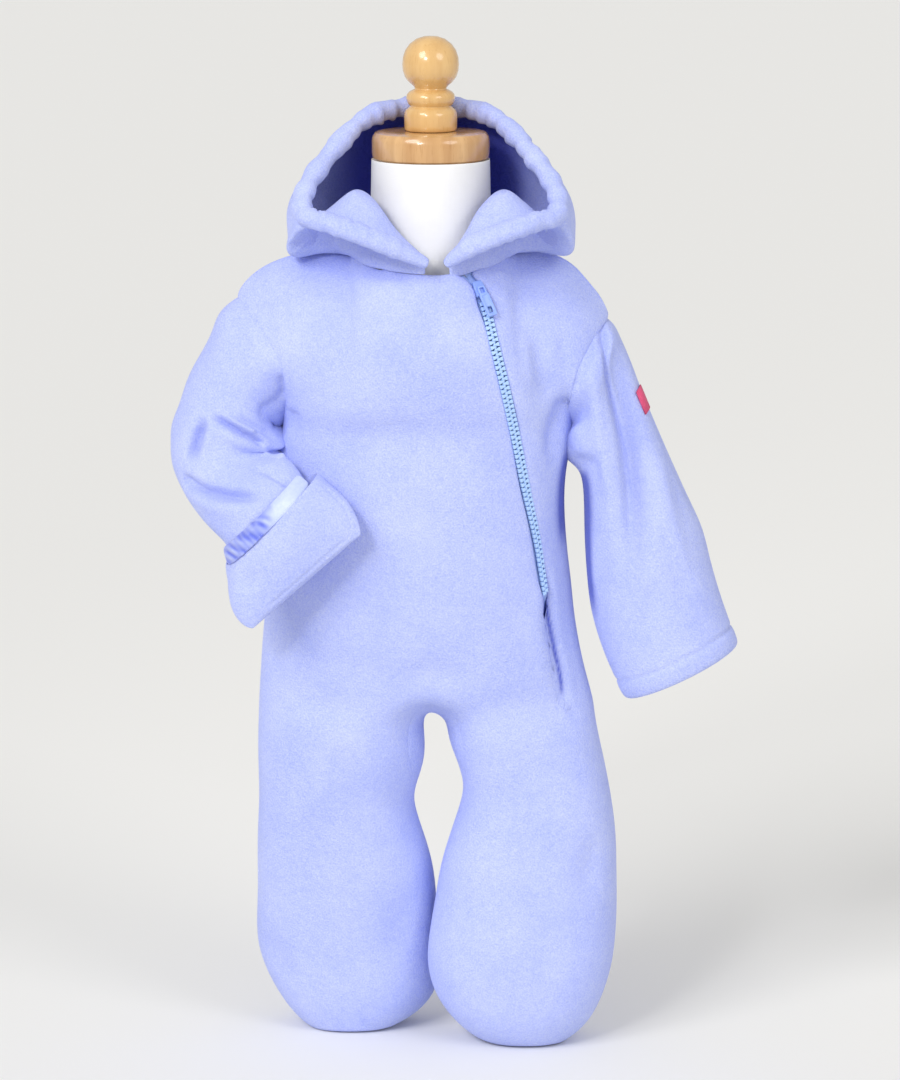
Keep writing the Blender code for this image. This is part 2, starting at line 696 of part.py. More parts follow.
def buildBody(skin):
    """Torso and legs. Returns the keys of the two armhole rings."""
    rows = []
    for level in range(TORSO_CELLS + 1):
        rows.append(lowerTorso(level / TORSO_CELLS))
    chest = upperTorso("front", rows[-1][0], FRONT_CELLS)
    seat = upperTorso("back", rows[-1][1], BACK_CELLS)
    for level in range(1, ARMHOLE_CELLS + 1):
        rows.append((chest[level], seat[level]))
    last = len(rows) - 1

    def frontKey(r, i):
        return skin.add(("front", r, i), rows[r][0][i])

    def backKey(r, i):
        joined = r <= TORSO_CELLS
        if i == 0 and joined:
            return frontKey(r, 0)
        if i == BACK_CELLS and joined:
            return frontKey(r, FRONT_CELLS)
        if r == last and i <= SHOULDER_CELLS:
            return frontKey(r, i)
        if r == last and i >= BACK_CELLS - SHOULDER_CELLS:
            return frontKey(r, FRONT_CELLS - (BACK_CELLS - i))
        return skin.add(("back", r, i), rows[r][1][i])

    def slitKey(r, i):
        # the slash parts the column that the zip runs along
        if i == ZIP_COLUMN and rows[r][0][i].z > ZIP_SLASH_END:
            return skin.add(("slit", r), rows[r][0][i])
        return frontKey(r, i)

    for r in range(last):
        for i in range(FRONT_CELLS):
            if i >= ZIP_COLUMN:
                loop = (slitKey(r, i), frontKey(r, i + 1),
                        frontKey(r + 1, i + 1), slitKey(r + 1, i))
            else:
                loop = (frontKey(r, i), frontKey(r, i + 1),
                        frontKey(r + 1, i + 1), frontKey(r + 1, i))
            skin.face("front", loop)
        for i in range(BACK_CELLS):
            skin.face("back", (backKey(r, i + 1), backKey(r, i),
                               backKey(r + 1, i), backKey(r + 1, i + 1)))

    saddle = {}
    for k in range(1, SADDLE_CELLS):
        spot = SADDLE[k]
        saddle[k] = skin.add(("saddle", k), (0, spot.back, spot.height))

    for side, table in (("right", RIGHT_LEG), ("left", LEFT_LEG)):
        buildLeg(skin, side, table, frontKey, backKey, saddle)

    holes = {}
    for side in ("right", "left"):
        i, j = (0, 0) if side == "right" else (FRONT_CELLS, BACK_CELLS)
        ring = [frontKey(r, i) for r in range(TORSO_CELLS, last + 1)]
        ring += [backKey(r, j) for r in range(last - 1, TORSO_CELLS, -1)]
        holes[side] = ring
    return holes


def buildLeg(skin, side, table, frontKey, backKey, saddle):
    right = side == "right"
    first = []
    for i in range(LEG_CELLS + 1):
        first.append(frontKey(0, i if right else FRONT_CELLS - i))
    for k in range(1, SADDLE_CELLS):
        first.append(saddle[k])
    half = BACK_CELLS // 2
    for i in range(half, 0, -1):
        first.append(backKey(0, i if right else BACK_CELLS - i))
    start = [skin.points[n] for n in first]
    rings = [first]
    for r, row in enumerate(table):
        ring = legRing(row, start)
        rings.append([skin.add((side, r, n), p) for n, p in enumerate(ring)])
    count = len(first)
    for upper, lower in zip(rings, rings[1:]):
        for n in range(count):
            panel = "front" if n < LEG_CELLS else "back"
            loop = (upper[n], lower[n],
                    lower[(n + 1) % count], upper[(n + 1) % count])
            skin.face(panel, loop if right else loop[::-1])
    closeSole(skin, side, rings[-1], right)


def closeSole(skin, side, ring, right):
    """The flat under the foot, with the bottom seam across its middle."""
    seam = [ring[0]]
    for n in range(1, LEG_CELLS):
        a = skin.points[ring[n]]
        b = skin.points[ring[2 * LEG_CELLS - n]]
        seam.append(skin.add((side, "sole", n), (a + b) / 2))
    seam.append(ring[LEG_CELLS])
    for n in range(LEG_CELLS):
        front = (ring[n], seam[n], seam[n + 1], ring[n + 1])
        a = ring[(2 * LEG_CELLS - n) % (2 * LEG_CELLS)]
        b = ring[2 * LEG_CELLS - n - 1]
        back = (seam[n], a, b, seam[n + 1])
        skin.face("front", front if right else front[::-1])
        skin.face("back", back if right else back[::-1])


# ---- the zip ----
ZipPlace = namedtuple("ZipPlace", "middle line")


def readZip(skin, normals):
    """The front panel beside the zip: for each row where the slash runs, the
    line of points across it, as distance from the slash, point and normal."""
    places = []
    for r in range(TORSO_CELLS + ARMHOLE_CELLS + 1):
        if ("slit", r) not in skin.known:
            continue
        right = [skin.known[("front", r, ZIP_COLUMN - n)] for n in range(4)]
        left = [skin.known[("slit", r)]]
        left += [skin.known[("front", r, ZIP_COLUMN + n)] for n in range(1, 5)]
        middle = (normals[right[0]] + normals[left[0]]).normalized()
        line = [(0.0, skin.points[left[0]], middle)]
        for sign, ids in ((-1, right), (1, left)):
            run = 0.0
            for a, b in zip(ids, ids[1:]):
                run += (skin.points[b] - skin.points[a]).length
                line.append((sign * run, skin.points[b], normals[b]))
        line.sort(key=lambda entry: entry[0])
        places.append(ZipPlace(skin.points[left[0]].copy(), [
            (run, point.copy(), normal.copy()) for run, point, normal in line]))
    return places


def acrossZip(place, side):
    """A point of the panel and its normal, so far to the left of the zip."""
    line = place.line
    step = 0
    while step < len(line) - 2 and line[step + 1][0] < side:
        step += 1
    (run, point, normal), (nextRun, nextPoint, nextNormal) = line[step:step + 2]
    t = (side - run) / (nextRun - run)
    return point.lerp(nextPoint, t), normal.lerp(nextNormal, t).normalized()


def besideZip(places, height, side):
    step = 0
    while step < len(places) - 2 and places[step + 1].middle.z < height:
        step += 1
    low, high = places[step], places[step + 1]
    t = (height - low.middle.z) / (high.middle.z - low.middle.z)
    (a, m), (b, n) = acrossZip(low, side), acrossZip(high, side)
    return a.lerp(b, t), m.lerp(n, t).normalized()


def halfSlot(height):
    """Half the width of the slash at a height."""
    closed = smooth((height - ZIP_OPEN_END + 13.0) / 14.0)
    head = smooth((height - ZIP_STOP + 18.0) / 10.0)
    return closed * ZIP_SLOT / 2 + head * 2.2


def partSlash(skin):
    """Moves the slash's two edges apart, and the points beside them a little."""
    shares = ((0, 1.0), (1, 0.5), (2, 0.2))
    for r in range(TORSO_CELLS + ARMHOLE_CELLS + 1):
        if ("slit", r) not in skin.known:
            continue
        ids = [skin.known[("front", r, ZIP_COLUMN + n)] for n in range(-2, 4)]
        across = (skin.points[ids[3]] - skin.points[ids[1]]).normalized()
        half = halfSlot(skin.points[ids[2]].z)
        for n, share in shares:
            skin.points[ids[2 - n]] -= across * half * share
            left = skin.known[("slit", r)] if n == 0 else ids[2 + n]
            skin.points[left] += across * half * share


def makeStrip(name, places, heights, sides, lift, thickness, material):
    """A strip that follows the zip, lifted off the panel's outer face."""
    strip = Skin()
    normals = []
    for height in heights:
        for side in sides:
            point, normal = besideZip(places, height, side)
            strip.add((height, side), point)
            normals.append(normal)
    for low, high in zip(heights, heights[1:]):
        for a, b in zip(sides, sides[1:]):
            strip.face(name, [strip.known[key] for key in
                              ((low, a), (low, b), (high, b), (high, a))])
    faces = [loop for _, loop in strip.faces]
    return makeWall(name, strip.points, faces, normals, thickness, material, lift)


def rowsBetween(places, low, high):
    """The heights of the panel's rows between two heights, ends included."""
    rows = [place.middle.z for place in places]
    return [low] + [z for z in rows if low + 1 < z < high - 1] + [high]


def box(name, size, place, turn, material):
    """A block: its size and its middle in the frame that turn gives."""
    width, length, depth = (value / 2 for value in size)
    points = []
    for x, y, z in ((-1, -1, -1), (1, -1, -1), (1, 1, -1), (-1, 1, -1),
                    (-1, -1, 1), (1, -1, 1), (1, 1, 1), (-1, 1, 1)):
        points.append(turn(place[0] + x * width, place[1] + y * length,
                           place[2] + z * depth))
    faces = [(3, 2, 1, 0), (4, 5, 6, 7), (0, 1, 5, 4),
             (1, 2, 6, 5), (2, 3, 7, 6), (3, 0, 4, 7)]
    return makeObject(name, points, faces, material)


def join(piece, other, operation):
    """Adds another solid to a piece, or cuts it away."""
    tool = piece.modifiers.new(other.name, "BOOLEAN")
    tool.object = other
    tool.operation = operation
    other.hide_render = True
    other.display_type = "WIRE"


def buildZip(places, tapeMaterial, toothMaterial):
    tapeLift = -(FLEECE + SEAM_GAP)
    tapeHeights = rowsBetween(places, ZIP_SLASH_END + 6, ZIP_TOP)
    chainHeights = rowsBetween(places, ZIP_OPEN_END, ZIP_STOP - 4.2)
    makeStrip("zip_tape_right", places, tapeHeights, (-ZIP_TAPE, -5.0, -0.3),
              tapeLift, TAPE_DEPTH, tapeMaterial)
    makeStrip("zip_tape_left", places, tapeHeights, (0.3, 5.0, ZIP_TAPE),
              tapeLift, TAPE_DEPTH, tapeMaterial)
    chainTop = tapeLift + SEAM_GAP + ZIP_CHAIN_DEPTH
    half = ZIP_CHAIN / 2
    makeStrip("zip_chain", places, chainHeights, (-half, 0.0, half),
              chainTop, ZIP_CHAIN_DEPTH, toothMaterial)

    # the slider's own frame: x to the left, y up along the zip, z outward
    foot, normal = besideZip(places, ZIP_STOP, 0.0)
    above, _ = besideZip(places, ZIP_STOP + 3, 0.0)
    below, _ = besideZip(places, ZIP_STOP - 16, 0.0)
    up = (above - below).normalized()
    out = (normal - up * normal.dot(up)).normalized()
    left = up.cross(out)

    def onSlider(x, y, z):
        return foot + left * x + up * y + out * z

    base = tapeLift + SEAM_GAP
    slider = box("zip_slider", (7.0, 9.0, 4.6), (0, 0, base + 2.3), onSlider,
                 toothMaterial)
    crown = base + 4.6
    bridge = box("slider_bridge", (2.0, 6.4, 3.2), (0, 0, crown + 1.5),
                 onSlider, toothMaterial)
    window = box("slider_window", (3.0, 4.0, 2.2), (0, 0, crown + 1.3),
                 onSlider, toothMaterial)
    throat = box("slider_throat", (6.0, 12.0, 3.0), (0, -4.0, base + 1.4),
                 onSlider, toothMaterial)
    join(slider, throat, "DIFFERENCE")
    join(bridge, window, "DIFFERENCE")
    join(slider, bridge, "UNION")

    # the pull hangs from a bar in the bridge's window and lies down the zip
    bar = crown + 1.25
    pull = box("zip_pull", (6.2, 20.0, 1.3), (0, -9.3, bar), onSlider,
               toothMaterial)
    eye = box("pull_eye", (3.4, 4.2, 4.0), (0, -2.8, bar), onSlider,
              toothMaterial)
    grip = box("pull_grip", (3.2, 4.0, 4.0), (0, -15.0, bar), onSlider,
               toothMaterial)
    join(pull, eye, "DIFFERENCE")
    join(pull, grip, "DIFFERENCE")


# ---- sleeves and mitten ----
def ringPoints(row, count):
    """A sleeve's ring from the underarm by way of the front."""
    outer = Vector((row.outer_x, row.middle, row.outer_z))
    inner = Vector((row.inner_x, row.middle, row.inner_z))
    middle, half = (outer + inner) / 2, (outer - inner) / 2
    points = []
    for n in range(count):
        angle = 2 * math.pi * n / count
        points.append(middle - half * math.cos(angle)
                      - Vector((0, row.half_depth * math.sin(angle), 0)))
    return points


def pressFolds(rings, folds):
    """Moves a sleeve's points in along its folds, towards the ring's middle."""
    count = len(rings[0])
    for r, ring in enumerate(rings):
        middle = sum(ring, Vector()) / count
        for n, point in enumerate(ring):
            move = 0.0
            for fold in folds:
                apart = abs(n / count - fold.around)
                apart = min(apart, 1 - apart) / fold.around_reach
                along = (r - fold.ring) / fold.ring_reach
                move += fold.depth * math.exp(-apart ** 2 - along ** 2)
            point += (middle - point).normalized() * move


def buildSleeve(skin, side, hole, table, folds):
    right = side == "right"
    count = len(hole)
    rings = [ringPoints(row, count) for row in table]
    start = [skin.points[n] for n in hole]
    for r, share in ((0, 0.45), (1, 0.12)):
        centre = sum(start, Vector()) / count
        here = sum(rings[r], Vector()) / count
        for n in range(count):
            moved = start[n] - centre + here
            rings[r][n] = rings[r][n].lerp(moved, share)
    pressFolds(rings, folds)
    keys = [hole]
    for r, ring in enumerate(rings):
        keys.append([skin.add((side, "sleeve", r, n), p)
                     for n, p in enumerate(ring)])
    for upper, lower in zip(keys, keys[1:]):
        for n in range(count):
            m = (n + 1) % count
            loop = (upper[n], upper[m], lower[m], lower[n])
            skin.face("sleeve_" + side, loop if right else loop[::-1])
    return rings


def buildMitten(skin, count):
    rings = [ringPoints(row, count) for row in MITTEN]
    keys = []
    for r, ring in enumerate(rings):
        keys.append([skin.add((r, n), p) for n, p in enumerate(ring)])
    for upper, lower in zip(keys, keys[1:]):
        for n in range(count):
            m = (n + 1) % count
            skin.face("mitten", (upper[n], upper[m], lower[m], lower[n]))
    end = keys[-1]
    for n in range(count // 2):
        skin.face("mitten", (end[n], end[n + 1],
                             end[count - n - 1], end[(count - n) % count]))


def buildRibbon(count, material):
    """The ribbon lies along the front half of the mitten's mouth."""
    ribbon = Skin()
    rows = [[curveThrough(RIBBON_BAND, t)[k] for k in range(6)] for t in (0, 0.5, 1)]
    rings = [ringPoints(SleeveRing(*row), 2 * count) for row in rows]
    keys = []
    for r, ring in enumerate(rings):
        keys.append([ribbon.add((r, n), ring[n]) for n in range(1, count)])
    for upper, lower in zip(keys, keys[1:]):
        for n in range(count - 2):
            ribbon.face("ribbon", (upper[n], upper[n + 1], lower[n + 1], lower[n]))
    makeWall("mitten_ribbon", ribbon.points, [loop for _, loop in ribbon.faces],
             ribbon.normals(), RIBBON, material)


def buildTab(rings, material):
    """A small folded tab on the front of the left sleeve, left blank."""
    tab = Skin()
    for r in TAB_RINGS:
        low = min(int(r), len(rings) - 2)
        for n in TAB_PLACES:
            a = rings[low][int(n)].lerp(rings[low][int(n) + 1], n % 1)
            b = rings[low + 1][int(n)].lerp(rings[low + 1][int(n) + 1], n % 1)
            tab.add((r, n), a.lerp(b, r - low))
    for upper, lower in zip(TAB_RINGS, TAB_RINGS[1:]):
        for m, n in zip(TAB_PLACES, TAB_PLACES[1:]):
            tab.face("tab", [tab.known[key] for key in
                             ((upper, n), (upper, m), (lower, m), (lower, n))])
    makeWall("sleeve_tab", tab.points, [loop for _, loop in tab.faces],
             tab.normals(), TAB_DEPTH, material, TAB_DEPTH + SEAM_GAP)


# ---- hood ----
def hoodPlace(side, share):
    """The five places of the hood's column a share of the way round."""
    sign = -1 if side == "right" else 1
    shift = HOOD_LEFT_SHIFT * max(0.0, 1 - share / 0.15) if side == "left" else 0
    places = []
    for field in HoodColumn._fields:
        line = [getattr(column, field) for column in HOOD]
        x, y, z = curveThrough(line, share)
        places.append(Vector((sign * max(x, 0) + shift, y, z)))
    return places


def hoodLine(side, share):
    """The hood's column as a fine line that stops inside the casing."""
    places = hoodPlace(side, share)
    edge = places[-1]
    into = (edge - places[-2]).normalized()
    places[-1] = edge - into * (CASING_WIDTH / 2 - 2.4)
    line = [Vector(curveThrough(places, t)) for t in even(60)]
    return spread(line, even(HOOD_ROWS)), edge, into


def buildHoodHalf(skin, side):
    keys = []
    for c in range(HOOD_CELLS + 1):
        line, _, _ = hoodLine(side, c / HOOD_CELLS)
        if c == HOOD_CELLS:
            keys.append([skin.add(("mid", r), p) for r, p in enumerate(line)])
        else:
            keys.append([skin.add((side, c, r), p) for r, p in enumerate(line)])
    for a, b in zip(keys, keys[1:]):
        for r in range(HOOD_ROWS):
            loop = (a[r], b[r], b[r + 1], a[r + 1])
            skin.face("hood_" + side, loop[::-1] if side == "right" else loop)


def casingSection(inner):
    """The casing's cut: a folded strip, open where the hood goes in. Each
    place is how far out along the fold and how far to the outer side."""
    halfWidth = CASING_WIDTH / 2 - (FLEECE if inner else 0)
    halfDepth = CASING_DEPTH / 2 - (FLEECE if inner else 0)
    mouth = math.radians(135)
    steps = 6
    section = []
    for n in range(steps + 1):
        angle = -mouth + 2 * mouth * n / steps
        section.append((halfWidth * math.cos(angle), halfDepth * math.sin(angle)))
    return section


def buildCasing(material):
    total = 2 * CASING_CELLS
    frames = []
    for c in range(total + 1):
        side = "right" if c <= CASING_CELLS else "left"
        share = c / CASING_CELLS if c <= CASING_CELLS else (total - c) / CASING_CELLS
        _, edge, into = hoodLine(side, share)
        frames.append((edge, into))
    rings = []
    for c, (edge, into) in enumerate(frames):
        along = frames[min(c + 1, total)][0] - frames[max(c - 1, 0)][0]
        along.normalize()
        outward = along.cross(into).normalized()
        # the gathers are uneven: their spacing drifts along the edge
        place = c / total
        wave = math.sin(2 * math.pi * PUCKERS * place
                        + 1.3 * math.sin(9 * place) + 0.8 * math.sin(23 * place))
        fromEnd = min(c, total - c)
        wave *= smooth(0.25 + 0.75 * fromEnd / (0.45 * total))
        taper = min(1.0, 0.5 + 0.5 * fromEnd / 6.0)
        ring = []
        edge = edge + outward * FLEECE / 2
        for out, up in casingSection(False):
            swell = 1 + wave * PUCKER_HEIGHT / (CASING_DEPTH / 2)
            swell = swell if out > -0.3 * CASING_WIDTH else 1
            ring.append(edge + into * out * taper * (1 + 0.4 * (swell - 1))
                        + outward * up * taper * swell)
        for out, up in reversed(casingSection(True)):
            ring.append(edge + into * out * taper + outward * up * taper)
        rings.append(ring)
    count = len(rings[0])
    points = [p for ring in rings for p in ring]
    faces = []
    for c in range(total):
        for n in range(count):
            m = (n + 1) % count
            faces.append((c * count + n, c * count + m,
                          (c + 1) * count + m, (c + 1) * count + n))
    faces.append(tuple(range(count))[::-1])
    faces.append(tuple(range(total * count, total * count + count)))
    return makeObject("hood_casing", points, faces, material)


# ---- the dress form ----
def turned(name, profile, segments, material, centre=(0, 0)):
    """A turned piece; a radius of 0 is one point on the axis."""
    points, rings, faces = [], [], []
    for row in profile:
        if row.radius == 0:
            rings.append([len(points)])
            points.append(Vector((centre[0], centre[1], row.height)))
            continue
        ring = []
        for n in range(segments):
            angle = 2 * math.pi * n / segments
            ring.append(len(points))
            points.append(Vector((centre[0] + row.radius * math.cos(angle),
                                  centre[1] + row.radius * math.sin(angle),
                                  row.height)))
        rings.append(ring)
    for low, high in zip(rings, rings[1:]):
        for n in range(segments):
            m = (n + 1) % segments
            if len(low) == 1:
                faces.append((low[0], high[m], high[n]))
            elif len(high) == 1:
                faces.append((low[n], low[m], high[0]))
            else:
                faces.append((low[n], low[m], high[m], high[n]))
    return makeObject(name, points, faces, material)


def buildForm(material):
    heights = [row.height for row in FORM]
    points, faces = [], []
    for height in heights:
        row = rowAt(FORM, height)
        for n in range(FORM_SEGMENTS):
            turn = 2 * n / FORM_SEGMENTS
            points.append(sectionPoint(row, turn, row.roundness))
    count = FORM_SEGMENTS
    for r in range(len(heights) - 1):
        for n in range(count):
            m = (n + 1) % count
            faces.append((r * count + n, r * count + m,
                          (r + 1) * count + m, (r + 1) * count + n))
    faces.append(tuple(range(count))[::-1])
    faces.append(tuple(range(len(points) - count, len(points))))
    return makeObject("form_torso", points, faces, material)


def buildRods(material):
    for rod in RODS:
        foot = ORIGIN.z + FLEECE + SEAM_GAP
        top = FORM[0].height - SEAM_GAP
        profile = [
            TurnedRow(0, foot), TurnedRow(ROD_FOOT_RADIUS, foot),
            TurnedRow(ROD_FOOT_RADIUS, foot + ROD_FOOT_HEIGHT),
            TurnedRow(ROD_RADIUS, foot + ROD_FOOT_HEIGHT),
            TurnedRow(ROD_RADIUS, top), TurnedRow(0, top),
        ]
        turned(rod.name, profile, 12, material, (rod.across, rod.back))


def main():
    for piece in list(bpy.data.objects):
        bpy.data.objects.remove(piece)
    fleece = makeMaterial("fleece", (0.50, 0.57, 0.93), 0.95)
    jersey = makeMaterial("jersey", (0.87, 0.85, 0.82), 0.9)
    wood = makeMaterial("wood", (0.68, 0.42, 0.16), 0.3)
    steel = makeMaterial("rod_paint", (0.80, 0.80, 0.80), 0.4)

    satin = makeMaterial("satin", (0.42, 0.50, 0.95), 0.35)
    plastic = makeMaterial("plastic", (0.30, 0.55, 0.92), 0.35)
    tape = makeMaterial("tape", (0.38, 0.48, 0.90), 0.8)
    red = makeMaterial("tab_cloth", (0.85, 0.20, 0.35), 0.7)

    suit = Skin()
    holes = buildBody(suit)
    buildSleeve(suit, "right", holes["right"], RIGHT_SLEEVE, RIGHT_SLEEVE_FOLDS)
    leftRings = buildSleeve(suit, "left", holes["left"], LEFT_SLEEVE,
                            LEFT_SLEEVE_FOLDS)
    normals = suit.normals()
    zipPlaces = readZip(suit, normals)
    partSlash(suit)
    hem = {}
    for key, index in suit.known.items():
        if key[:2] == ("left", "sleeve") and key[2] >= len(LEFT_SLEEVE) - 2:
            hem[index] = HEM_EXTRA
    for panel in ("front", "back", "sleeve_right", "sleeve_left"):
        faces = [loop for name, loop in suit.faces if name == panel]
        makeWall(panel, suit.points, faces, normals, FLEECE, fleece,
                 thicker=hem)
    buildTab(leftRings, red)
    buildZip(zipPlaces, tape, plastic)

    mitten = Skin()
    buildMitten(mitten, 2 * ARMHOLE_CELLS)
    makeWall("mitten_right", mitten.points, [loop for _, loop in mitten.faces],
             mitten.normals(), FLEECE, fleece)
    buildRibbon(ARMHOLE_CELLS, satin)

    hood = Skin()
    buildHoodHalf(hood, "right")
    buildHoodHalf(hood, "left")
    normals = hood.normals()
    for panel in ("hood_right", "hood_left"):
        faces = [loop for name, loop in hood.faces if name == panel]
        makeWall(panel, hood.points, faces, normals, FLEECE, fleece)
    buildCasing(fleece)

    buildForm(jersey)
    turned("neck_cap", NECK_CAP, TURNED_SEGMENTS, wood)
    turned("finial", FINIAL, TURNED_SEGMENTS, wood)
    buildRods(steel)


main()
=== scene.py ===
# Baby's hooded fleece bunting suit on a limbless dress form.
import math

import bmesh
import bpy
import numpy as np
from mathutils import Matrix, Vector
from mathutils.bvhtree import BVHTree
from mathutils.kdtree import KDTree


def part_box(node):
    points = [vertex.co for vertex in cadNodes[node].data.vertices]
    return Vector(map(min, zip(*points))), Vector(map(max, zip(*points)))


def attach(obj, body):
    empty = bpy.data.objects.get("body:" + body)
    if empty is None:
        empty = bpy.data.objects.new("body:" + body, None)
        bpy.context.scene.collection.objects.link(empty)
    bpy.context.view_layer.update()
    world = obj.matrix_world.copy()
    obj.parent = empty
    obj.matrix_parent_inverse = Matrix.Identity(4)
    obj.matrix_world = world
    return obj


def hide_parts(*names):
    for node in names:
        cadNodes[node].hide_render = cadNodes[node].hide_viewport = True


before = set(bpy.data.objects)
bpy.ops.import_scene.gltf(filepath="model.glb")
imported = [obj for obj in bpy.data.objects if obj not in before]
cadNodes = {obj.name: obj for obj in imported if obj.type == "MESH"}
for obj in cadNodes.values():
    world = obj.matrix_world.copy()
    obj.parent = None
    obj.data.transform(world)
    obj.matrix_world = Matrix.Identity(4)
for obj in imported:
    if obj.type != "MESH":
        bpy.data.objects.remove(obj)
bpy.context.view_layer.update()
mm = 0.001
middleX, middleY = -15.4, 11.7  # the form's upright axis, in mm

# ---- camera, light and floor ----
studio = {
    "cameraPlace": (-0.003525, -2.7883, 0.84657),
    "cameraTilt": 79.3,
    "lens": 182.37, "sensor": 36,
    "view": (900, 1080),
    "floor": (0.89, 0.885, 0.87),
    "sky": (0.95, 0.945, 0.93),
    "skyStrength": 0.66,
    "suns": [(-40, 36, 1.05), (42, 28, 0.55)],  # way round from the front, rise, strength
    "sunSpread": 26,
    "spotPlace": (-0.85, -2.1, 1.55), "spotTurn": (62.5, 0, -21.5),
    "spotWatts": 60, "spotCone": 30,
}


def dropSelection():
    if bpy.context.object and bpy.context.object.mode != "OBJECT":
        bpy.ops.object.mode_set(mode="OBJECT")
    bpy.ops.object.select_all(action="DESELECT")


def pick(thing):
    dropSelection()
    thing.select_set(True)
    bpy.context.view_layer.objects.active = thing
    return thing


def reshape(thing, *steps):
    # each step works on the whole mesh, in edit mode
    pick(thing)
    bpy.ops.object.mode_set(mode="EDIT")
    for step in steps:
        bpy.ops.mesh.select_all(action="SELECT")
        step()
    bpy.ops.object.mode_set(mode="OBJECT")


def makeCamera():
    dropSelection()
    bpy.ops.object.camera_add(location=studio["cameraPlace"],
                              rotation=(math.radians(studio["cameraTilt"]), 0, 0))
    camera = bpy.context.object
    camera.data.lens = studio["lens"]
    camera.data.sensor_width = studio["sensor"]
    camera.data.sensor_fit = "HORIZONTAL"
    camera.data.clip_end = 30
    bpy.context.scene.camera = camera
    bpy.context.scene.view_settings.view_transform = "Standard"
    bpy.context.view_layer.update()
    return camera


camera = makeCamera()


def sightLine(across, down):
    # the direction from the camera through a place in its view
    wide, high = studio["view"]
    reach = studio["sensor"] / wide / studio["lens"]
    ray = Vector(((across - wide / 2) * reach, (high / 2 - down) * reach, -1))
    return (camera.matrix_world.to_3x3() @ ray).normalized()


def makeLights():
    for turn, rise, strength in studio["suns"]:
        dropSelection()
        bpy.ops.object.light_add(type="SUN", location=(0, -2, 2),
                                 rotation=(math.radians(90 - rise), 0, math.radians(turn)))
        lamp = bpy.context.object
        lamp.data.energy = strength
        lamp.data.angle = math.radians(studio["sunSpread"])
    # a broad soft spot that brightens the chest
    dropSelection()
    bpy.ops.object.light_add(type="SPOT", location=studio["spotPlace"],
                             rotation=[math.radians(turn) for turn in studio["spotTurn"]])
    lamp = bpy.context.object
    lamp.data.energy = studio["spotWatts"]
    lamp.data.spot_size = math.radians(studio["spotCone"])
    lamp.data.spot_blend = 1
    lamp.data.shadow_soft_size = 0.22
    world = bpy.data.worlds.new("studioAir")
    bpy.context.scene.world = world
    world.use_nodes = True
    air = world.node_tree.nodes["Background"]
    air.inputs["Color"].default_value = (*studio["sky"], 1)
    air.inputs["Strength"].default_value = studio["skyStrength"]


makeLights()

# ---- small tools for nodes ----


def feed(tree, value, plug):
    # a plug takes another node's output, a number, a colour, or stays as it is
    if isinstance(value, bpy.types.NodeSocket):
        tree.links.new(value, plug)
    elif isinstance(value, (int, float)):
        plug.default_value = value
    elif value is not None:
        plug.default_value = (*value, 1)


def addNode(tree, kind, place, **settings):
    node = tree.nodes.new(kind)
    node.location = place
    for key, value in settings.items():
        if key in node.inputs:
            node.inputs[key].default_value = value
        else:
            setattr(node, key, value)
    return node


def newMaterial(name, **sockets):
    material = bpy.data.materials.new(name)
    material.use_nodes = True
    shader = material.node_tree.nodes["Principled BSDF"]
    for key, value in sockets.items():
        shader.inputs[key.replace("_", " ")].default_value = value
    return material, material.node_tree, shader


def newGroup(name, takes, gives):
    group = bpy.data.node_groups.new(name, "ShaderNodeTree")
    for label, kind, value in takes:
        plug = group.interface.new_socket(name=label, in_out="INPUT", socket_type=kind)
        if value is not None:
            plug.default_value = value
    for label, kind in gives:
        group.interface.new_socket(name=label, in_out="OUTPUT", socket_type=kind)
    return group, group.nodes.new("NodeGroupInput"), group.nodes.new("NodeGroupOutput")


def noiseAt(tree, vector, scale, detail, place, rough=0.55):
    node = addNode(tree, "ShaderNodeTexNoise", place, Detail=detail, Roughness=rough)
    feed(tree, scale, node.inputs["Scale"])
    feed(tree, vector, node.inputs["Vector"])
    return node.outputs["Fac"]


def mathNode(tree, how, first, second, place, third=None):
    node = addNode(tree, "ShaderNodeMath", place, operation=how)
    for plug, value in zip(node.inputs, (first, second, third)):
        feed(tree, value, plug)
    return node.outputs[0]


def mixColour(tree, share, first, second, place):
    node = addNode(tree, "ShaderNodeMix", place, data_type="RGBA")
    for plug, value in zip((0, 6, 7), (share, first, second)):
        feed(tree, value, node.inputs[plug])
    return node.outputs[2]


def ramp(tree, value, low, high, place, **settings):
    # from nothing at the low value to one at the high value
    node = addNode(tree, "ShaderNodeMapRange", place, **settings)
    node.inputs["From Min"].default_value = low
    node.inputs["From Max"].default_value = high
    feed(tree, value, node.inputs["Value"])
    return node.outputs["Result"]


def objectPlace(tree):
    return addNode(tree, "ShaderNodeTexCoord", (-1400, 0)).outputs["Object"]


# brushed pile: a soft fur of short fibres with faint clumps
pile, pileIn, pileOut = newGroup("brushedPile", [
    ("Place", "NodeSocketVector", None), ("Fibre", "NodeSocketFloat", 950.0),
    ("Clump", "NodeSocketFloat", 230.0)], [
    ("Height", "NodeSocketFloat"), ("Shade", "NodeSocketFloat")])
fibres = noiseAt(pile, pileIn.outputs["Place"], pileIn.outputs["Fibre"], 3, (-600, 200), 0.62)
clumps = noiseAt(pile, pileIn.outputs["Place"], pileIn.outputs["Clump"], 4, (-600, -60), 0.6)
drifts = noiseAt(pile, pileIn.outputs["Place"], 28, 3, (-600, -320), 0.5)
pile.links.new(mathNode(pile, "ADD", mathNode(pile, "MULTIPLY", fibres, 0.6, (-380, 200)),
                        mathNode(pile, "MULTIPLY", clumps, 0.4, (-380, 0)), (-180, 120)),
               pileOut.inputs["Height"])
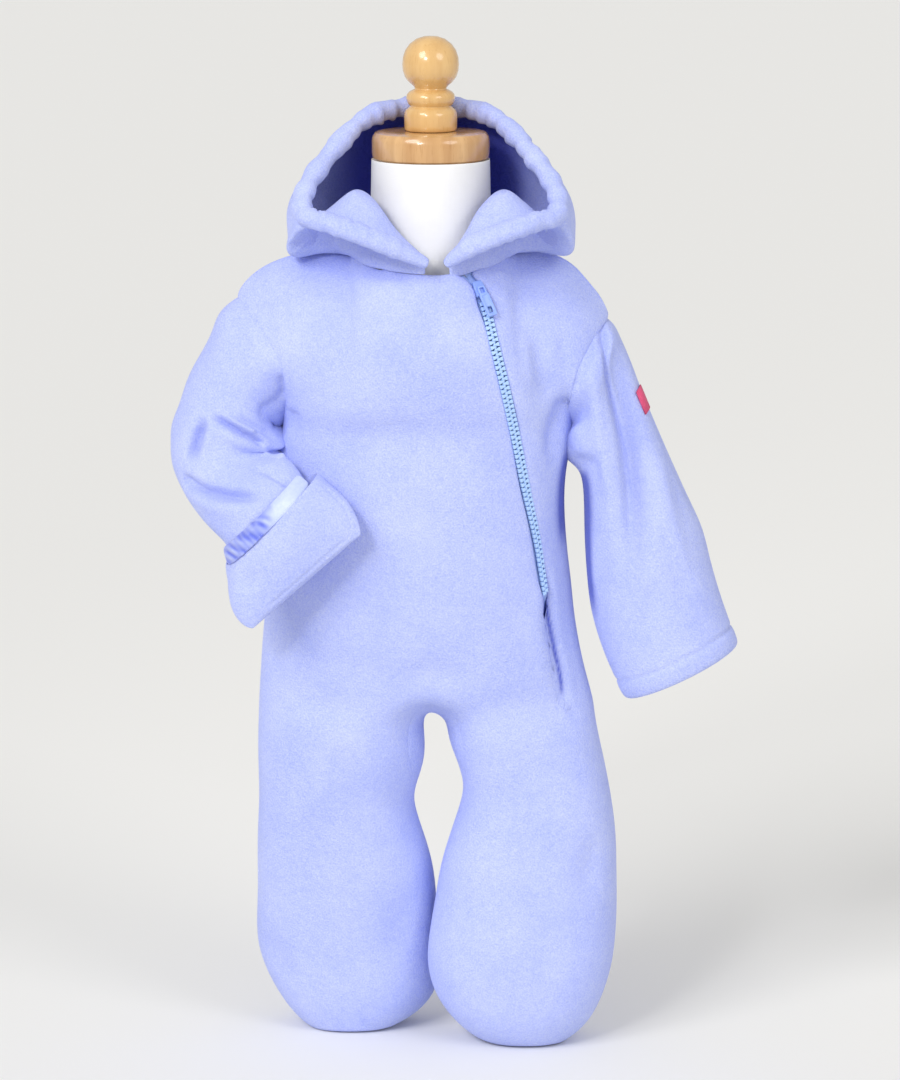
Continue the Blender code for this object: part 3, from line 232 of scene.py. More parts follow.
pile.links.new(mathNode(pile, "ADD", mathNode(pile, "MULTIPLY", fibres, 0.6, (-380, -160)),
                        mathNode(pile, "ADD",
                                 mathNode(pile, "MULTIPLY", clumps, 0.15, (-380, -260)),
                                 mathNode(pile, "MULTIPLY", drifts, 0.25, (-380, -360)),
                                 (-180, -300)), (-20, -200)),
               pileOut.inputs["Shade"])


def useGroup(tree, group, place, **values):
    node = addNode(tree, "ShaderNodeGroup", place)
    node.node_tree = group
    for key, value in values.items():
        node.inputs[key].default_value = value
    return node


def bumpFrom(tree, shader, height, strength, distance, place):
    node = addNode(tree, "ShaderNodeBump", place, Strength=strength, Distance=distance)
    tree.links.new(height, node.inputs["Height"])
    tree.links.new(node.outputs["Normal"], shader.inputs["Normal"])
    return node


def fleeceMaterial(name, light, dark, sheen=0.3, depth=0.0016, deep=None):
    material, tree, shader = newMaterial(
        name, Roughness=0.95, Sheen_Weight=sheen, Sheen_Roughness=0.45)
    shader.inputs["Sheen Tint"].default_value = (*light, 1)
    shader.inputs["Specular IOR Level"].default_value = 0.12
    surface = useGroup(tree, pile, (-900, 0))
    tree.links.new(objectPlace(tree), surface.inputs["Place"])
    spread = ramp(tree, surface.outputs["Shade"], 0.36, 0.64, (-640, 160))
    colour = mixColour(tree, spread, dark, light, (-400, 160))
    if deep:
        # painted shade: the same fleece, richer and darker towards the back and the middle of the
        # hood, where it is deepest
        apart = addNode(tree, "ShaderNodeSeparateXYZ", (-1300, 420))
        tree.links.new(objectPlace(tree), apart.inputs["Vector"])
        back = ramp(tree, apart.outputs["Y"], -0.036, 0.004, (-1000, 420),
                    interpolation_type="SMOOTHSTEP")
        side = mathNode(tree, "ABSOLUTE",
                        mathNode(tree, "ADD", apart.outputs["X"], -middleX * mm, (-1120, 620)),
                        0.0, (-1000, 620))
        near = ramp(tree, side, 0.068, 0.042, (-860, 620), interpolation_type="SMOOTHSTEP")
        inside = mathNode(tree, "MULTIPLY", near, 0.68, (-700, 620))
        inside = mathNode(tree, "MULTIPLY", back,
                          mathNode(tree, "ADD", inside, 0.32, (-560, 620)), (-420, 520))
        colour = mixColour(tree, inside, colour, deep, (-200, 300))
    tree.links.new(colour, shader.inputs["Base Color"])
    bumpFrom(tree, shader, surface.outputs["Height"], 0.75, depth, (-400, -160))
    return material


lavender = fleeceMaterial("lavenderFleece", (0.60, 0.66, 0.995), (0.40, 0.47, 0.95))
# the hood's inner wall: the same fleece with painted shade in its depth
hoodShadeFleece = fleeceMaterial("innerFleecePaintedShade", (0.60, 0.66, 0.995), (0.40, 0.47, 0.95),
                       deep=(0.13, 0.15, 0.66))

# fine threads that run up and across, for ribbon, tape and tab
threads, threadsIn, threadsOut = newGroup("closeThreads", [
    ("Place", "NodeSocketVector", None), ("Count", "NodeSocketFloat", 2400.0)], [
    ("Height", "NodeSocketFloat"), ("Shade", "NodeSocketFloat")])
threadWave = addNode(threads, "ShaderNodeTexWave", (-500, 100), Distortion=1.2, Detail=1.0)
threads.links.new(threadsIn.outputs["Place"], threadWave.inputs["Vector"])
threads.links.new(threadsIn.outputs["Count"], threadWave.inputs["Scale"])
threadSpots = noiseAt(threads, threadsIn.outputs["Place"], 420, 3, (-500, -200))
threads.links.new(threadWave.outputs["Fac"], threadsOut.inputs["Height"])
threads.links.new(mathNode(threads, "ADD",
                           mathNode(threads, "MULTIPLY", threadWave.outputs["Fac"], 0.4,
                                    (-260, 60)),
                           mathNode(threads, "MULTIPLY", threadSpots, 0.6, (-260, -160)),
                           (-80, 0)), threadsOut.inputs["Shade"])


def clothMaterial(name, light, dark, count, **sockets):
    material, tree, shader = newMaterial(name, **sockets)
    surface = useGroup(tree, threads, (-900, 0), Count=count)
    tree.links.new(objectPlace(tree), surface.inputs["Place"])
    spread = ramp(tree, surface.outputs["Shade"], 0.3, 0.7, (-640, 160))
    tree.links.new(mixColour(tree, spread, dark, light, (-400, 160)),
                   shader.inputs["Base Color"])
    bumpFrom(tree, shader, surface.outputs["Height"], 0.35, 0.0002, (-400, -160))
    return material


satin = clothMaterial("periwinkleSatin", (0.66, 0.74, 1.0), (0.52, 0.61, 0.99), 1500,
                      Roughness=0.3, Sheen_Weight=0.4, Anisotropic=0.5)


def deepen(material, share, deep):
    # painted shade: the material's own colour gives way to a darker one by this share
    tree = material.node_tree
    base = tree.nodes["Principled BSDF"].inputs["Base Color"]
    plain = base.links[0].from_socket
    tree.links.new(mixColour(tree, share, plain, deep, (-160, 300)), base)


def paintCreaseShade(material, deep):
    # painted shade: darker and richer by the share kept in the mesh's points
    paintedShade = addNode(material.node_tree, "ShaderNodeAttribute", (-400, 420),
                     attribute_name="paintedShade")
    deepen(material, paintedShade.outputs["Fac"], deep)


# painted shade on the satin and the fleece, by the share kept in their meshes
paintCreaseShade(satin, (0.13, 0.18, 0.78))
paintCreaseShade(lavender, (0.07, 0.10, 0.55))
tapeCloth = clothMaterial("wovenTape", (0.42, 0.56, 0.96), (0.34, 0.48, 0.93), 900,
                          Roughness=0.75)
# painted shade: down in the slash, where no light reaches, the tape is painted deep blue
tapeNodes = tapeCloth.node_tree
tapePlace = addNode(tapeNodes, "ShaderNodeSeparateXYZ", (-900, 420))
tapeNodes.links.new(objectPlace(tapeNodes), tapePlace.inputs["Vector"])
tapeDepth = ramp(tapeNodes, tapePlace.outputs["Z"], 0.290, 0.281, (-640, 420),
                 interpolation_type="SMOOTHSTEP")
deepen(tapeCloth, tapeDepth, (0.07, 0.11, 0.55))
tabCloth = clothMaterial("redTabWeave", (0.80, 0.11, 0.24), (0.66, 0.06, 0.17), 1100,
                         Roughness=0.7)
thread = clothMaterial("lavenderThread", (0.50, 0.57, 0.98), (0.40, 0.46, 0.93), 1600,
                       Roughness=0.6)


def jerseyMaterial():
    # knitted cover: rows of small loops
    material, tree, shader = newMaterial("whiteJersey", Roughness=0.9, Sheen_Weight=0.25)
    place = objectPlace(tree)
    rows = addNode(tree, "ShaderNodeTexWave", (-900, 200), Scale=330.0, Distortion=1.5)
    rows.bands_direction = "Z"
    columns = addNode(tree, "ShaderNodeTexWave", (-900, -100), Scale=420.0, Distortion=1.0)
    for wave in (rows, columns):
        tree.links.new(place, wave.inputs["Vector"])
    knit = mathNode(tree, "MULTIPLY", rows.outputs["Fac"], columns.outputs["Fac"], (-640, 60))
    soft = noiseAt(tree, place, 60, 3, (-900, -400))
    tree.links.new(mixColour(tree, soft, (0.86, 0.85, 0.83), (0.93, 0.925, 0.91), (-640, 300)),
                   shader.inputs["Base Color"])
    bumpFrom(tree, shader, knit, 0.3, 0.0004, (-400, -100))
    return material


def mouldedPlastic(name, dark, light):
    material, tree, shader = newMaterial(name, Roughness=0.32)
    place = objectPlace(tree)
    cloud = noiseAt(tree, place, 500, 3, (-900, 100))
    tree.links.new(mixColour(tree, cloud, dark, light, (-500, 200)),
                   shader.inputs["Base Color"])
    tree.links.new(mathNode(tree, "MULTIPLY_ADD", cloud, 0.25, (-500, -40), 0.22),
                   shader.inputs["Roughness"])
    bumpFrom(tree, shader, noiseAt(tree, place, 1800, 2, (-900, -240)), 0.12, 0.0002,
             (-400, -240))
    return material


def turnedWood(name, light, dark, streak):
    # varnished wood with its grain running up the piece
    material, tree, shader = newMaterial(name, Roughness=0.24, Coat_Weight=0.7,
                                         Coat_Roughness=0.08)
    place = objectPlace(tree)
    stretch = addNode(tree, "ShaderNodeMapping", (-1150, 0))
    stretch.inputs["Scale"].default_value = (1.0, 1.0, 0.09)
    stretch.inputs["Rotation"].default_value = (0.03, 0.05, 0.3)
    tree.links.new(place, stretch.inputs["Vector"])
    broad = noiseAt(tree, stretch.outputs["Vector"], 95, 5, (-900, 200), 0.6)
    fine = noiseAt(tree, stretch.outputs["Vector"], 620, 4, (-900, -60), 0.65)
    bands = addNode(tree, "ShaderNodeTexWave", (-900, -320), Scale=26.0, Distortion=5.0,
                    Detail=3.0)
    bands.inputs["Detail Scale"].default_value = 2.2
    tree.links.new(stretch.outputs["Vector"], bands.inputs["Vector"])
    tone = ramp(tree, broad, 0.34, 0.66, (-640, 200))
    base = mixColour(tree, tone, dark, light, (-420, 240))
    lines = ramp(tree, fine, 0.55, 0.72, (-640, -100))
    veined = mixColour(tree, mathNode(tree, "MULTIPLY", lines, 0.45, (-420, -60)),
                       base, streak, (-220, 160))
    veins = mathNode(tree, "MULTIPLY", bands.outputs["Fac"], 0.28, (-420, -300))
    tree.links.new(mixColour(tree, veins, veined, streak, (-60, 60)),
                   shader.inputs["Base Color"])
    bumpFrom(tree, shader, fine, 0.05, 0.0002, (-220, -200))
    return material


jersey = jerseyMaterial()
toothPlastic = mouldedPlastic("skyBluePlastic", (0.38, 0.57, 0.95), (0.50, 0.70, 0.99))
plastic = mouldedPlastic("periwinklePlastic", (0.24, 0.37, 0.90), (0.37, 0.52, 0.97))
capWood = turnedWood("capWood", (0.72, 0.44, 0.20), (0.60, 0.33, 0.13), (0.42, 0.19, 0.06))
paleWood = turnedWood("finialWood", (0.80, 0.52, 0.22), (0.70, 0.42, 0.15),
                      (0.52, 0.27, 0.08))


def rodPaint():
    material, tree, shader = newMaterial("rodSteel", Metallic=0.9, Roughness=0.4)
    spots = noiseAt(tree, objectPlace(tree), 240, 3, (-700, 0))
    tree.links.new(mixColour(tree, spots, (0.42, 0.42, 0.43), (0.56, 0.56, 0.57), (-400, 100)),
                   shader.inputs["Base Color"])
    bumpFrom(tree, shader, spots, 0.06, 0.0003, (-400, -100))
    return material


rodSteel = rodPaint()

# ---- cloth: copies of the cut pieces, made soft ----


def softCopy(node, name, rounds=2, hold=0.85, weld=0.00002):
    source = cadNodes[node]
    piece = bpy.data.objects.new(name, source.data.copy())
    bpy.context.scene.collection.objects.link(piece)
    pick(piece)
    bpy.ops.object.mode_set(mode="EDIT")
    bpy.ops.mesh.select_all(action="SELECT")
    bpy.ops.mesh.remove_doubles(threshold=weld)
    bpy.ops.mesh.tris_convert_to_quads(face_threshold=math.radians(70),
                                       shape_threshold=math.radians(70))
    if name == "dressForm":
        closeEnds(piece)
    bpy.ops.object.mode_set(mode="OBJECT")
    piece.data.materials.clear()
    if rounds:
        soften(piece, rounds, hold)
    bpy.ops.object.shade_smooth()
    return piece


def closeEnds(piece):
    # the flat ends are filled afresh, each with rings that keep its edge firm
    shape = bmesh.from_edit_mesh(piece.data)
    heights = [v.co.z for v in shape.verts]
    ends = [f for f in shape.faces
            if all(v.co.z > max(heights) - 0.0004 for v in f.verts)
            or all(v.co.z < min(heights) + 0.0004 for v in f.verts)]
    bmesh.ops.delete(shape, geom=ends, context="FACES")
    rims = [e for e in shape.edges if e.is_boundary]
    made = bmesh.ops.holes_fill(shape, edges=rims, sides=0)["faces"]
    for width in (0.0008, 0.006, 0.012):
        bmesh.ops.inset_individual(shape, faces=made, thickness=width)
    bmesh.update_edit_mesh(piece.data)


def soften(piece, rounds, hold):
    # the points are first pushed out by what the rounding would take in
    bands = piece.modifiers.new("rounding", "SUBSURF")
    bands.levels = bands.render_levels = rounds
    bpy.context.view_layer.update()
    shrunk = piece.evaluated_get(bpy.context.evaluated_depsgraph_get()).data
    for point in piece.data.vertices:
        there = shrunk.vertices[point.index].co
        point.co = point.co + (point.co - there) * hold
    piece.data.update()
    pick(piece)
    bpy.ops.object.modifier_apply(modifier="rounding")


def readPoints(piece):
    flat = np.empty(len(piece.data.vertices) * 3, np.float32)
    piece.data.vertices.foreach_get("co", flat)
    return flat.reshape(-1, 3).astype(float)


def readNormals(piece):
    flat = np.empty(len(piece.data.vertices) * 3, np.float32)
    piece.data.vertices.foreach_get("normal", flat)
    return flat.reshape(-1, 3).astype(float)


def eased(share):
    # from 0 to 1 with a soft start and a soft end
    return share * share * (3 - 2 * share)


def writePoints(piece, points):
    piece.data.vertices.foreach_set("co", points.astype(np.float32).ravel())
    piece.data.update()


def surfaceTree(piece):
    return BVHTree.FromPolygons([v.co for v in piece.data.vertices],
                                [p.vertices for p in piece.data.polygons])


def fold(wide, deep, *places, side="seen", **more):
    # one crease, its width and depth in mm, through places seen from one side
    return {side: places, "wide": wide, "deep": deep, **more}


def layOn(tree, fold):
    # the fold's places, found on the cloth: seen from the camera, or from a side
    if "seen" in fold:
        start = camera.matrix_world.translation
        rays = [(start, sightLine(*place)) for place in fold["seen"]]
    elif "behind" in fold:
        rays = [(Vector((x * mm, 1, z * mm)), Vector((0, -1, 0))) for x, z in fold["behind"]]
    elif "left" in fold:
        rays = [(Vector((1, y * mm, z * mm)), Vector((-1, 0, 0))) for y, z in fold["left"]]
    else:
        rays = [(Vector((-1, y * mm, z * mm)), Vector((1, 0, 0))) for y, z in fold["right"]]
    spots = [tree.ray_cast(start, way)[0] for start, way in rays]
    return [spot for spot in spots if spot is not None]


def nearLine(points, line):
    # how far each point is from the line, and how far along it that is
    best = np.full(len(points), 1e9)
    along = np.zeros(len(points))
    lengths = [(b - a).length for a, b in zip(line, line[1:])]
    total = max(sum(lengths), 1e-9)
    run = 0.0
    for a, b, length in zip(line, line[1:], lengths):
        start, step = np.array(a), np.array(b - a)
        share = np.clip(((points - start) @ step) / max(step @ step, 1e-12), 0, 1)
        far = np.linalg.norm(points - start - share[:, None] * step, axis=1)
        closer = far < best
        best[closer] = far[closer]
        along[closer] = (run + share[closer] * length) / total
        run += length
    return best, along


def curved(line, pieces=6):
    # a smooth line through the places
    if len(line) < 3:
        return line
    full = [line[0] * 2 - line[1]] + line + [line[-1] * 2 - line[-2]]
    result = []
    for p, a, b, q in zip(full, full[1:], full[2:], full[3:]):
        for n in range(pieces):
            t = n / pieces
            result.append(0.5 * (2 * a + (b - p) * t + (2 * p - 5 * a + 4 * b - q) * t * t
                                 + (3 * a - p - 3 * b + q) * t ** 3))
    return result + [line[-1]]


def outwardWays(piece, points, core):
    # each point's way out of the garment, the same for both walls of the cloth
    normals = readNormals(piece)
    away = np.zeros_like(points)
    best = np.full(len(points), 1e9)
    for line in core:
        for a, b in zip(line, line[1:]):
            start, step = np.array(a), np.array(b) - np.array(a)
            share = np.clip(((points - start) @ step) / max(step @ step, 1e-12), 0, 1)
            offLine = points - start - share[:, None] * step
            far = np.linalg.norm(offLine, axis=1)
            closer = far < best
            best[closer] = far[closer]
            away[closer] = offLine[closer]
    away /= np.maximum(np.linalg.norm(away, axis=1), 1e-9)[:, None]
    facing = (normals * away).sum(1)
    outer = np.flatnonzero(facing > 0.45)
    tree = KDTree(len(outer))
    for place, index in enumerate(outer):
        tree.insert(points[index], place)
    tree.balance()
    ways = normals.copy()
    for index in np.flatnonzero(facing <= 0.45):
        ways[index] = normals[outer[tree.find(points[index])[1]]]
    return ways


def pressFolds(piece, folds, core):
    points = readPoints(piece)
    ways = outwardWays(piece, points, core)
    tree = surfaceTree(piece)
    moved = np.zeros(len(points))
    for fold in folds:
        line = curved(layOn(tree, fold))
        if len(line) < 2:
            print("a fold misses", piece.name, fold)
            continue
        far, along = nearLine(points, line)
        wide, deep = fold["wide"] * mm, fold["deep"] * mm
        startFade, endFade = fold.get("fade", (0.35, 0.35))
        fade = np.clip(along / max(startFade, 1e-3), 0, 1)
        fade = eased(fade * np.clip((1 - along) / max(endFade, 1e-3), 0, 1))
        reach = far / wide
        shape = (1 - fold.get("lips", 0.5) * reach ** 2) * np.exp(-reach ** 2)
        moved -= deep * fade * shape
    writePoints(piece, points + ways * moved[:, None])


clothPieces = {  # node: name, rounds of softening
    "front": ("frontPanel", 2),
    "back": ("backPanel", 2),
    "sleeve_right": ("rightSleeve", 3),
    "sleeve_left": ("leftSleeve", 3),
    "mitten_right": ("foldedMitten", 3),
    "hood_right": ("rightHoodHalf", 3),
    "hood_left": ("leftHoodHalf", 3),
    "hood_casing": ("hoodCasing", 2),
    "mitten_ribbon": ("satinBinding", 3),
    "sleeve_tab": ("blankTab", 0),
    "zip_tape_right": ("rightZipTape", 1),
    "zip_tape_left": ("leftZipTape", 1),
    "form_torso": ("dressForm", 2),
}
finishes = {"satinBinding": satin, "blankTab": tabCloth, "rightZipTape": tapeCloth,
            "leftZipTape": tapeCloth, "dressForm": jersey}
cloth = {}
for node, (name, rounds) in clothPieces.items():
    piece = softCopy(node, name, rounds)
    piece.data.materials.append(finishes.get(name, lavender))
    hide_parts(node)
    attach(piece, "suit")
    cloth[name] = piece
    print("cut", name, len(piece.data.polygons))

# ---- folds, each placed one by one ----
cores = {  # the line inside each piece that its folds press towards
    "torso": [[(-0.055, 0, 0.20), (-0.055, 0, 0.47)], [(0.03, 0, 0.20), (0.03, 0, 0.47)],
              [(-0.07, 0.018, 0.19), (-0.068, 0.03, 0.02)],
              [(0.046, 0.0, 0.19), (0.04, -0.005, 0.02)]],
    "rightSleeve": [[(-0.128, 0.011, 0.427), (-0.144, -0.005, 0.378),
                     (-0.127, -0.034, 0.355), (-0.109, -0.055, 0.337)]],
    "leftSleeve": [[(0.088, 0.011, 0.424), (0.141, 0.0, 0.238)]],
    "mitten": [[(-0.115, -0.049, 0.346), (-0.091, -0.065, 0.307)]],
    "hood": [[(-0.006, 0.01, 0.525), (-0.006, 0.0, 0.56)]],
}
frontFolds = [
    fold(1.7, 1.3, (336, 252), (357, 263), (385, 270), (412, 274), (430, 270), fade=(0.1, 0.1),
         lips=1.0),
    fold(4.5, -0.9, (346, 276), (376, 282), (410, 284), (440, 282)),
    fold(7, -1.0, (340, 276), (372, 288), (410, 292)),
    fold(8, 2.2, (282, 388), (292, 410), (291, 440), fade=(0.1, 0.5)),
    fold(8, 1.2, (252, 288), (262, 312), (280, 340)),
    fold(9, 2.8, (537, 322), (540, 350), (545, 380), (556, 402), fade=(0.4, 0.3)),
    fold(5.5, -1.4, (524, 330), (529, 362), (536, 392)),
    fold(5.5, 1.4, (566, 330), (562, 356), (566, 380)),
    fold(8.5, 4.0, (570, 396), (560, 412), (553, 440), (557, 476), fade=(0.15, 0.5), lips=0.4),
    fold(5.5, 3.0, (544, 556), (549, 610), (556, 655), (566, 706), fade=(0.3, 0.1), lips=0.8),
    fold(7, -1.2, (532, 590), (538, 640), (548, 690)),
    fold(1.5, 1.5, (562, 690), (568, 706), (574, 714), (577, 717), fade=(0.2, 0.3), lips=0.6),
    fold(12, 2.4, (404, 694), (418, 680), (432, 674), (446, 680), (458, 694)),
    fold(14, 1.2, (262, 640), (300, 655), (352, 668), (400, 690)),
    fold(16, -1.2, (268, 700), (300, 720), (350, 740), (400, 745)),
    fold(16, -1.2, (470, 745), (510, 738), (560, 735), (600, 745)),
    fold(12, 1.2, (472, 700), (520, 708), (560, 722), (590, 728)),
    fold(12, 2.2, (600, 830), (590, 866), (582, 905)),
    fold(11, 2.2, (264, 925), (280, 962), (300, 988)),
    fold(12, 1.8, (392, 965), (402, 925), (408, 880)),
    fold(14, 1.2, (450, 905), (475, 902), (505, 885)),
    fold(22, 1.0, (330, 480), (360, 450), (400, 430), (440, 425)),
    fold(20, -0.8, (310, 330), (350, 345), (400, 352)),
    fold(15, 1.2, (300, 800), (306, 850), (300, 900)),
    fold(15, 1.2, (520, 800), (530, 850), (528, 900)),
]
pressFolds(cloth["frontPanel"], frontFolds, cores["torso"])

rightSleeveFolds = [
    fold(2.4, 5.4, (283, 452), (262, 443), (242, 432), (222, 421), (206, 415),
         fade=(0.02, 0.35), lips=0.3),
    fold(2.6, -2.6, (277, 443), (256, 433), (236, 423), (220, 413), fade=(0.1, 0.3)),
    fold(2.2, 2.6, (272, 435), (252, 425), (232, 414), fade=(0.25, 0.35)),
    fold(4.5, -3.0, (283, 462), (262, 453), (240, 443), (222, 433), (208, 427),
         fade=(0.1, 0.3)),
    fold(8.5, -4.5, (270, 408), (275, 424), (276, 440), lips=0.1),
    fold(3.5, 3.2, (279, 372), (283, 388), (281, 402), fade=(0.3, 0.3)),
    fold(5.0, 5.6, (181, 478), (199, 489), (222, 494), (246, 496), (268, 499), fade=(0.08, 0.3),
         lips=0.7),
    fold(6.0, -2.0, (188, 492), (208, 505), (236, 510), (258, 512)),
    fold(3.0, 3.2, (290, 486), (280, 479), (268, 473), (250, 468), fade=(0.1, 0.6)),
    fold(5.0, 5.6, (207, 416), (198, 434), (193, 450), (189, 466), fade=(0.35, 0.4), lips=0.3),
    fold(4.5, -1.8, (214, 412), (208, 434), (206, 458)),
    fold(4, 1.2, (238, 318), (256, 344), (266, 378)),
    fold(5, 1.8, (284, 396), (272, 404), (258, 420)),
    fold(13, -1.2, (236, 330), (222, 360), (206, 396)),
    fold(8, 2.0, (22, 452), (24, 425), (22, 400), side="right"),
    fold(7, 2.6, (-122, 452), (-132, 420), (-146, 396), side="behind"),
    fold(5, 4.0, (-102, 392), (-118, 386), (-134, 376), side="behind", fade=(0.05, 0.4)),
    fold(5, 3.0, (-96, 376), (-110, 368), (-124, 358), side="behind"),
]
leftSleeveFolds = [
    fold(3.6, 4.8, (603, 322), (606, 345), (611, 378), (618, 420), (624, 470), (628, 520),
         (629, 575), fade=(0.1, 0.45), lips=0.5),
    fold(11, 6.5, (612, 330), (620, 372), (628, 420), (635, 475), (638, 530), (638, 590),
         fade=(0.2, 0.35), lips=0.3),
    fold(6, -3.4, (590, 352), (594, 392), (600, 432), (608, 480), (616, 530), fade=(0.2, 0.4)),
    fold(8, -2.0, (650, 400), (656, 440), (664, 490), (676, 545), (686, 590)),
    fold(9, 1.4, (600, 600), (603, 560), (606, 520)),
    fold(9, -5.0, (583, 416), (585, 438), (588, 462), lips=0.1),
    fold(2.6, 1.4, (612, 316), (600, 340), (582, 372), (574, 392), fade=(0.1, 0.1)),
    fold(8, 1.8, (660, 520), (672, 560), (694, 606)),
    fold(8, 1.4, (640, 640), (650, 610), (654, 580)),
    fold(8, 2.4, (8, 430), (4, 380), (0, 330), side="left"),
    fold(7, 3.6, (110, 440), (124, 396), (136, 346), (142, 300), side="behind"),
    fold(8, -2.0, (92, 380), (104, 340), (112, 296), side="behind"),
    fold(5, 2.4, (88, 400), (104, 392), (122, 388), side="behind"),
]
mittenFolds = [
    fold(1.5, 0.55, (292, 459), (318, 480), (340, 502), (352, 524), fade=(0.1, 0.1), lips=1.2),
    fold(1.3, 0.4, (286, 464), (306, 478), (330, 500), (346, 524), fade=(0.1, 0.1), lips=1.2),
    fold(1.6, 0.45, (352, 534), (322, 560), (288, 590), (262, 612), fade=(0.1, 0.1), lips=1.2),
    fold(14, -1.2, (300, 500), (290, 540), (270, 580)),
    fold(9, 1.4, (232, 572), (246, 580), (258, 592)),
]
hoodRightFolds = [
    fold(7, 1.6, (286, 236), (300, 245), (330, 249)),
    fold(6, -0.9, (330, 236), (352, 228), (372, 232), (398, 246)),
    fold(9, 2.2, (-30, 522), (-8, 514), (14, 516), side="right"),
    fold(10, 1.6, (-18, 560), (8, 548), (30, 536), side="right"),
    fold(10, 2.2, (-72, 520), (-48, 540), (-30, 566), side="behind"),
    fold(6, 1.8, (-50, 512), (-40, 524), (-20, 532), side="behind"),
]
hoodLeftFolds = [
    fold(7, 1.6, (560, 250), (540, 240), (520, 238)),
    fold(6, -0.9, (530, 232), (508, 226), (488, 236), (470, 250)),
    fold(9, 2.2, (-30, 520), (-8, 513), (14, 517), side="left"),
    fold(10, 1.4, (-16, 562), (10, 546), (32, 538), side="left"),
    fold(10, 2.0, (66, 522), (44, 540), (22, 562), side="behind"),
    fold(6, 1.8, (46, 511), (32, 520), (12, 528), side="behind"),
]
backFolds = [
    fold(7, 1.2, (-60, 494), (-30, 484), (0, 480), (32, 484), (58, 494), side="behind"),
    fold(10, 1.8, (-92, 420), (-72, 400), (-40, 386), side="behind"),
    fold(10, 1.6, (80, 416), (62, 396), (30, 388), side="behind"),
    fold(14, 1.4, (-70, 330), (-20, 318), (30, 322), (60, 336), side="behind"),
    fold(12, 2.2, (-80, 262), (-40, 246), (0, 240), (44, 248), (78, 262), side="behind"),
    fold(9, 1.8, (-60, 228), (-24, 214), (-6, 208), side="behind"),
    fold(9, 1.8, (58, 230), (26, 216), (4, 208), side="behind"),
    fold(11, 1.3, (-92, 190), (-70, 180), (-40, 182), side="behind"),
    fold(11, 1.3, (94, 184), (70, 174), (38, 178), side="behind"),
    fold(12, 1.4, (-98, 84), (-70, 74), (-40, 80), side="behind"),
    fold(12, 1.4, (90, 92), (66, 80), (34, 82), side="behind"),
    fold(16, -1.0, (-40, 440), (-36, 400), (-44, 350), side="behind"),
    fold(16, -1.0, (46, 446), (40, 404), (46, 352), side="behind"),
]
for name, folds, core in (
        ("rightSleeve", rightSleeveFolds, "rightSleeve"),
        ("leftSleeve", leftSleeveFolds, "leftSleeve"),
        ("foldedMitten", mittenFolds, "mitten"),
        ("rightHoodHalf", hoodRightFolds, "hood"),
        ("leftHoodHalf", hoodLeftFolds, "hood"),
        ("backPanel", backFolds, "torso")):
    pressFolds(cloth[name], folds, cores[core])
    print("folds pressed:", name)

# ---- turned wood ----
turnedRows = {  # radius and height in mm
    "woodenCap": [
        (0.0, 555.5), (30.0, 555.5), (34.2, 555.9), (35.9, 557.4), (36.3, 560.0),
        (36.3, 567.6), (35.8, 570.4), (34.2, 572.6), (31.0, 573.4), (22.0, 573.5),
        (0.0, 573.5)],
    "turnedFinial": [
        (0.0, 573.8), (15.2, 573.8), (16.0, 574.6), (16.3, 577.0), (16.4, 582.0),
        (16.2, 584.4), (15.4, 586.4), (13.4, 588.0), (12.8, 588.6), (12.8, 589.1),
        (13.9, 590.2), (14.8, 592.2), (15.0, 594.0), (14.6, 595.9), (13.2, 597.6),
        (11.2, 598.7), (9.9, 599.3), (9.8, 599.8), (10.8, 601.2), (13.6, 603.6),
        (15.9, 606.6), (17.2, 610.6), (17.5, 614.5), (17.1, 618.6), (15.6, 623.0),
        (12.9, 626.8), (8.8, 629.9), (4.2, 631.4), (0.0, 631.7)],
}
formAxis = (middleX * mm, middleY * mm)


def turnOnLathe(name, rows, material, steps=96):
    mesh = bpy.data.meshes.new(name)
    piece = bpy.data.objects.new(name, mesh)
    bpy.context.scene.collection.objects.link(piece)
    outline = [(formAxis[0] + radius * mm, formAxis[1], height * mm) for radius, height in rows]
    mesh.from_pydata(outline, [(n, n + 1) for n in range(len(rows) - 1)], [])
    reshape(piece,
            lambda: bpy.ops.mesh.spin(steps=steps, angle=math.tau, center=(*formAxis, 0),
                                      axis=(0, 0, 1)),
            lambda: bpy.ops.mesh.remove_doubles(threshold=0.00001),
            lambda: bpy.ops.mesh.normals_make_consistent(inside=False))
    mesh.materials.append(material)
    pick(piece)
    bpy.ops.object.shade_smooth_by_angle(angle=math.radians(38))
    return piece


for name, material, node in (("woodenCap", capWood, "neck_cap"),
                             ("turnedFinial", paleWood, "finial")):
    piece = turnOnLathe(name, turnedRows[name], material)
    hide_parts(node)
    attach(piece, "suit")
for node in ("stand_rod_right", "stand_rod_left"):
    for slot in cadNodes[node].material_slots:
        slot.material = rodSteel
print("form and wood done")

# ---- the zip ----
zipParts = {
    "line": [(208.5, 68.6), (238.5, 64.6), (254.5, 61.1), (272.5, 57.6), (300.5, 53.9),
             (324.5, 50.4), (354.5, 44.2), (377.5, 39.6), (399.5, 35.0), (429.5, 28.4),
             (451.5, 23.0), (472.5, 17.8), (482.5, 13.1), (490.5, 3.6)],  # height, across
    "within": (209, 490), "low": 290.5, "high": 474.5,
    "pitch": 3.1,
    "toothLong": 3.6, "toothDeep": 2.2, "foot": 2.45, "neck": 1.25, "head": 1.75,
    "left": (0.86064, 0.46609, 0.20507), "up": (-0.3907, 0.3461, 0.8530),
    "out": (0.3266, -0.8142, 0.4800),
    "coverReach": 75, "coverShift": 0.9,  # the flap hides part of the chain's lower end
}


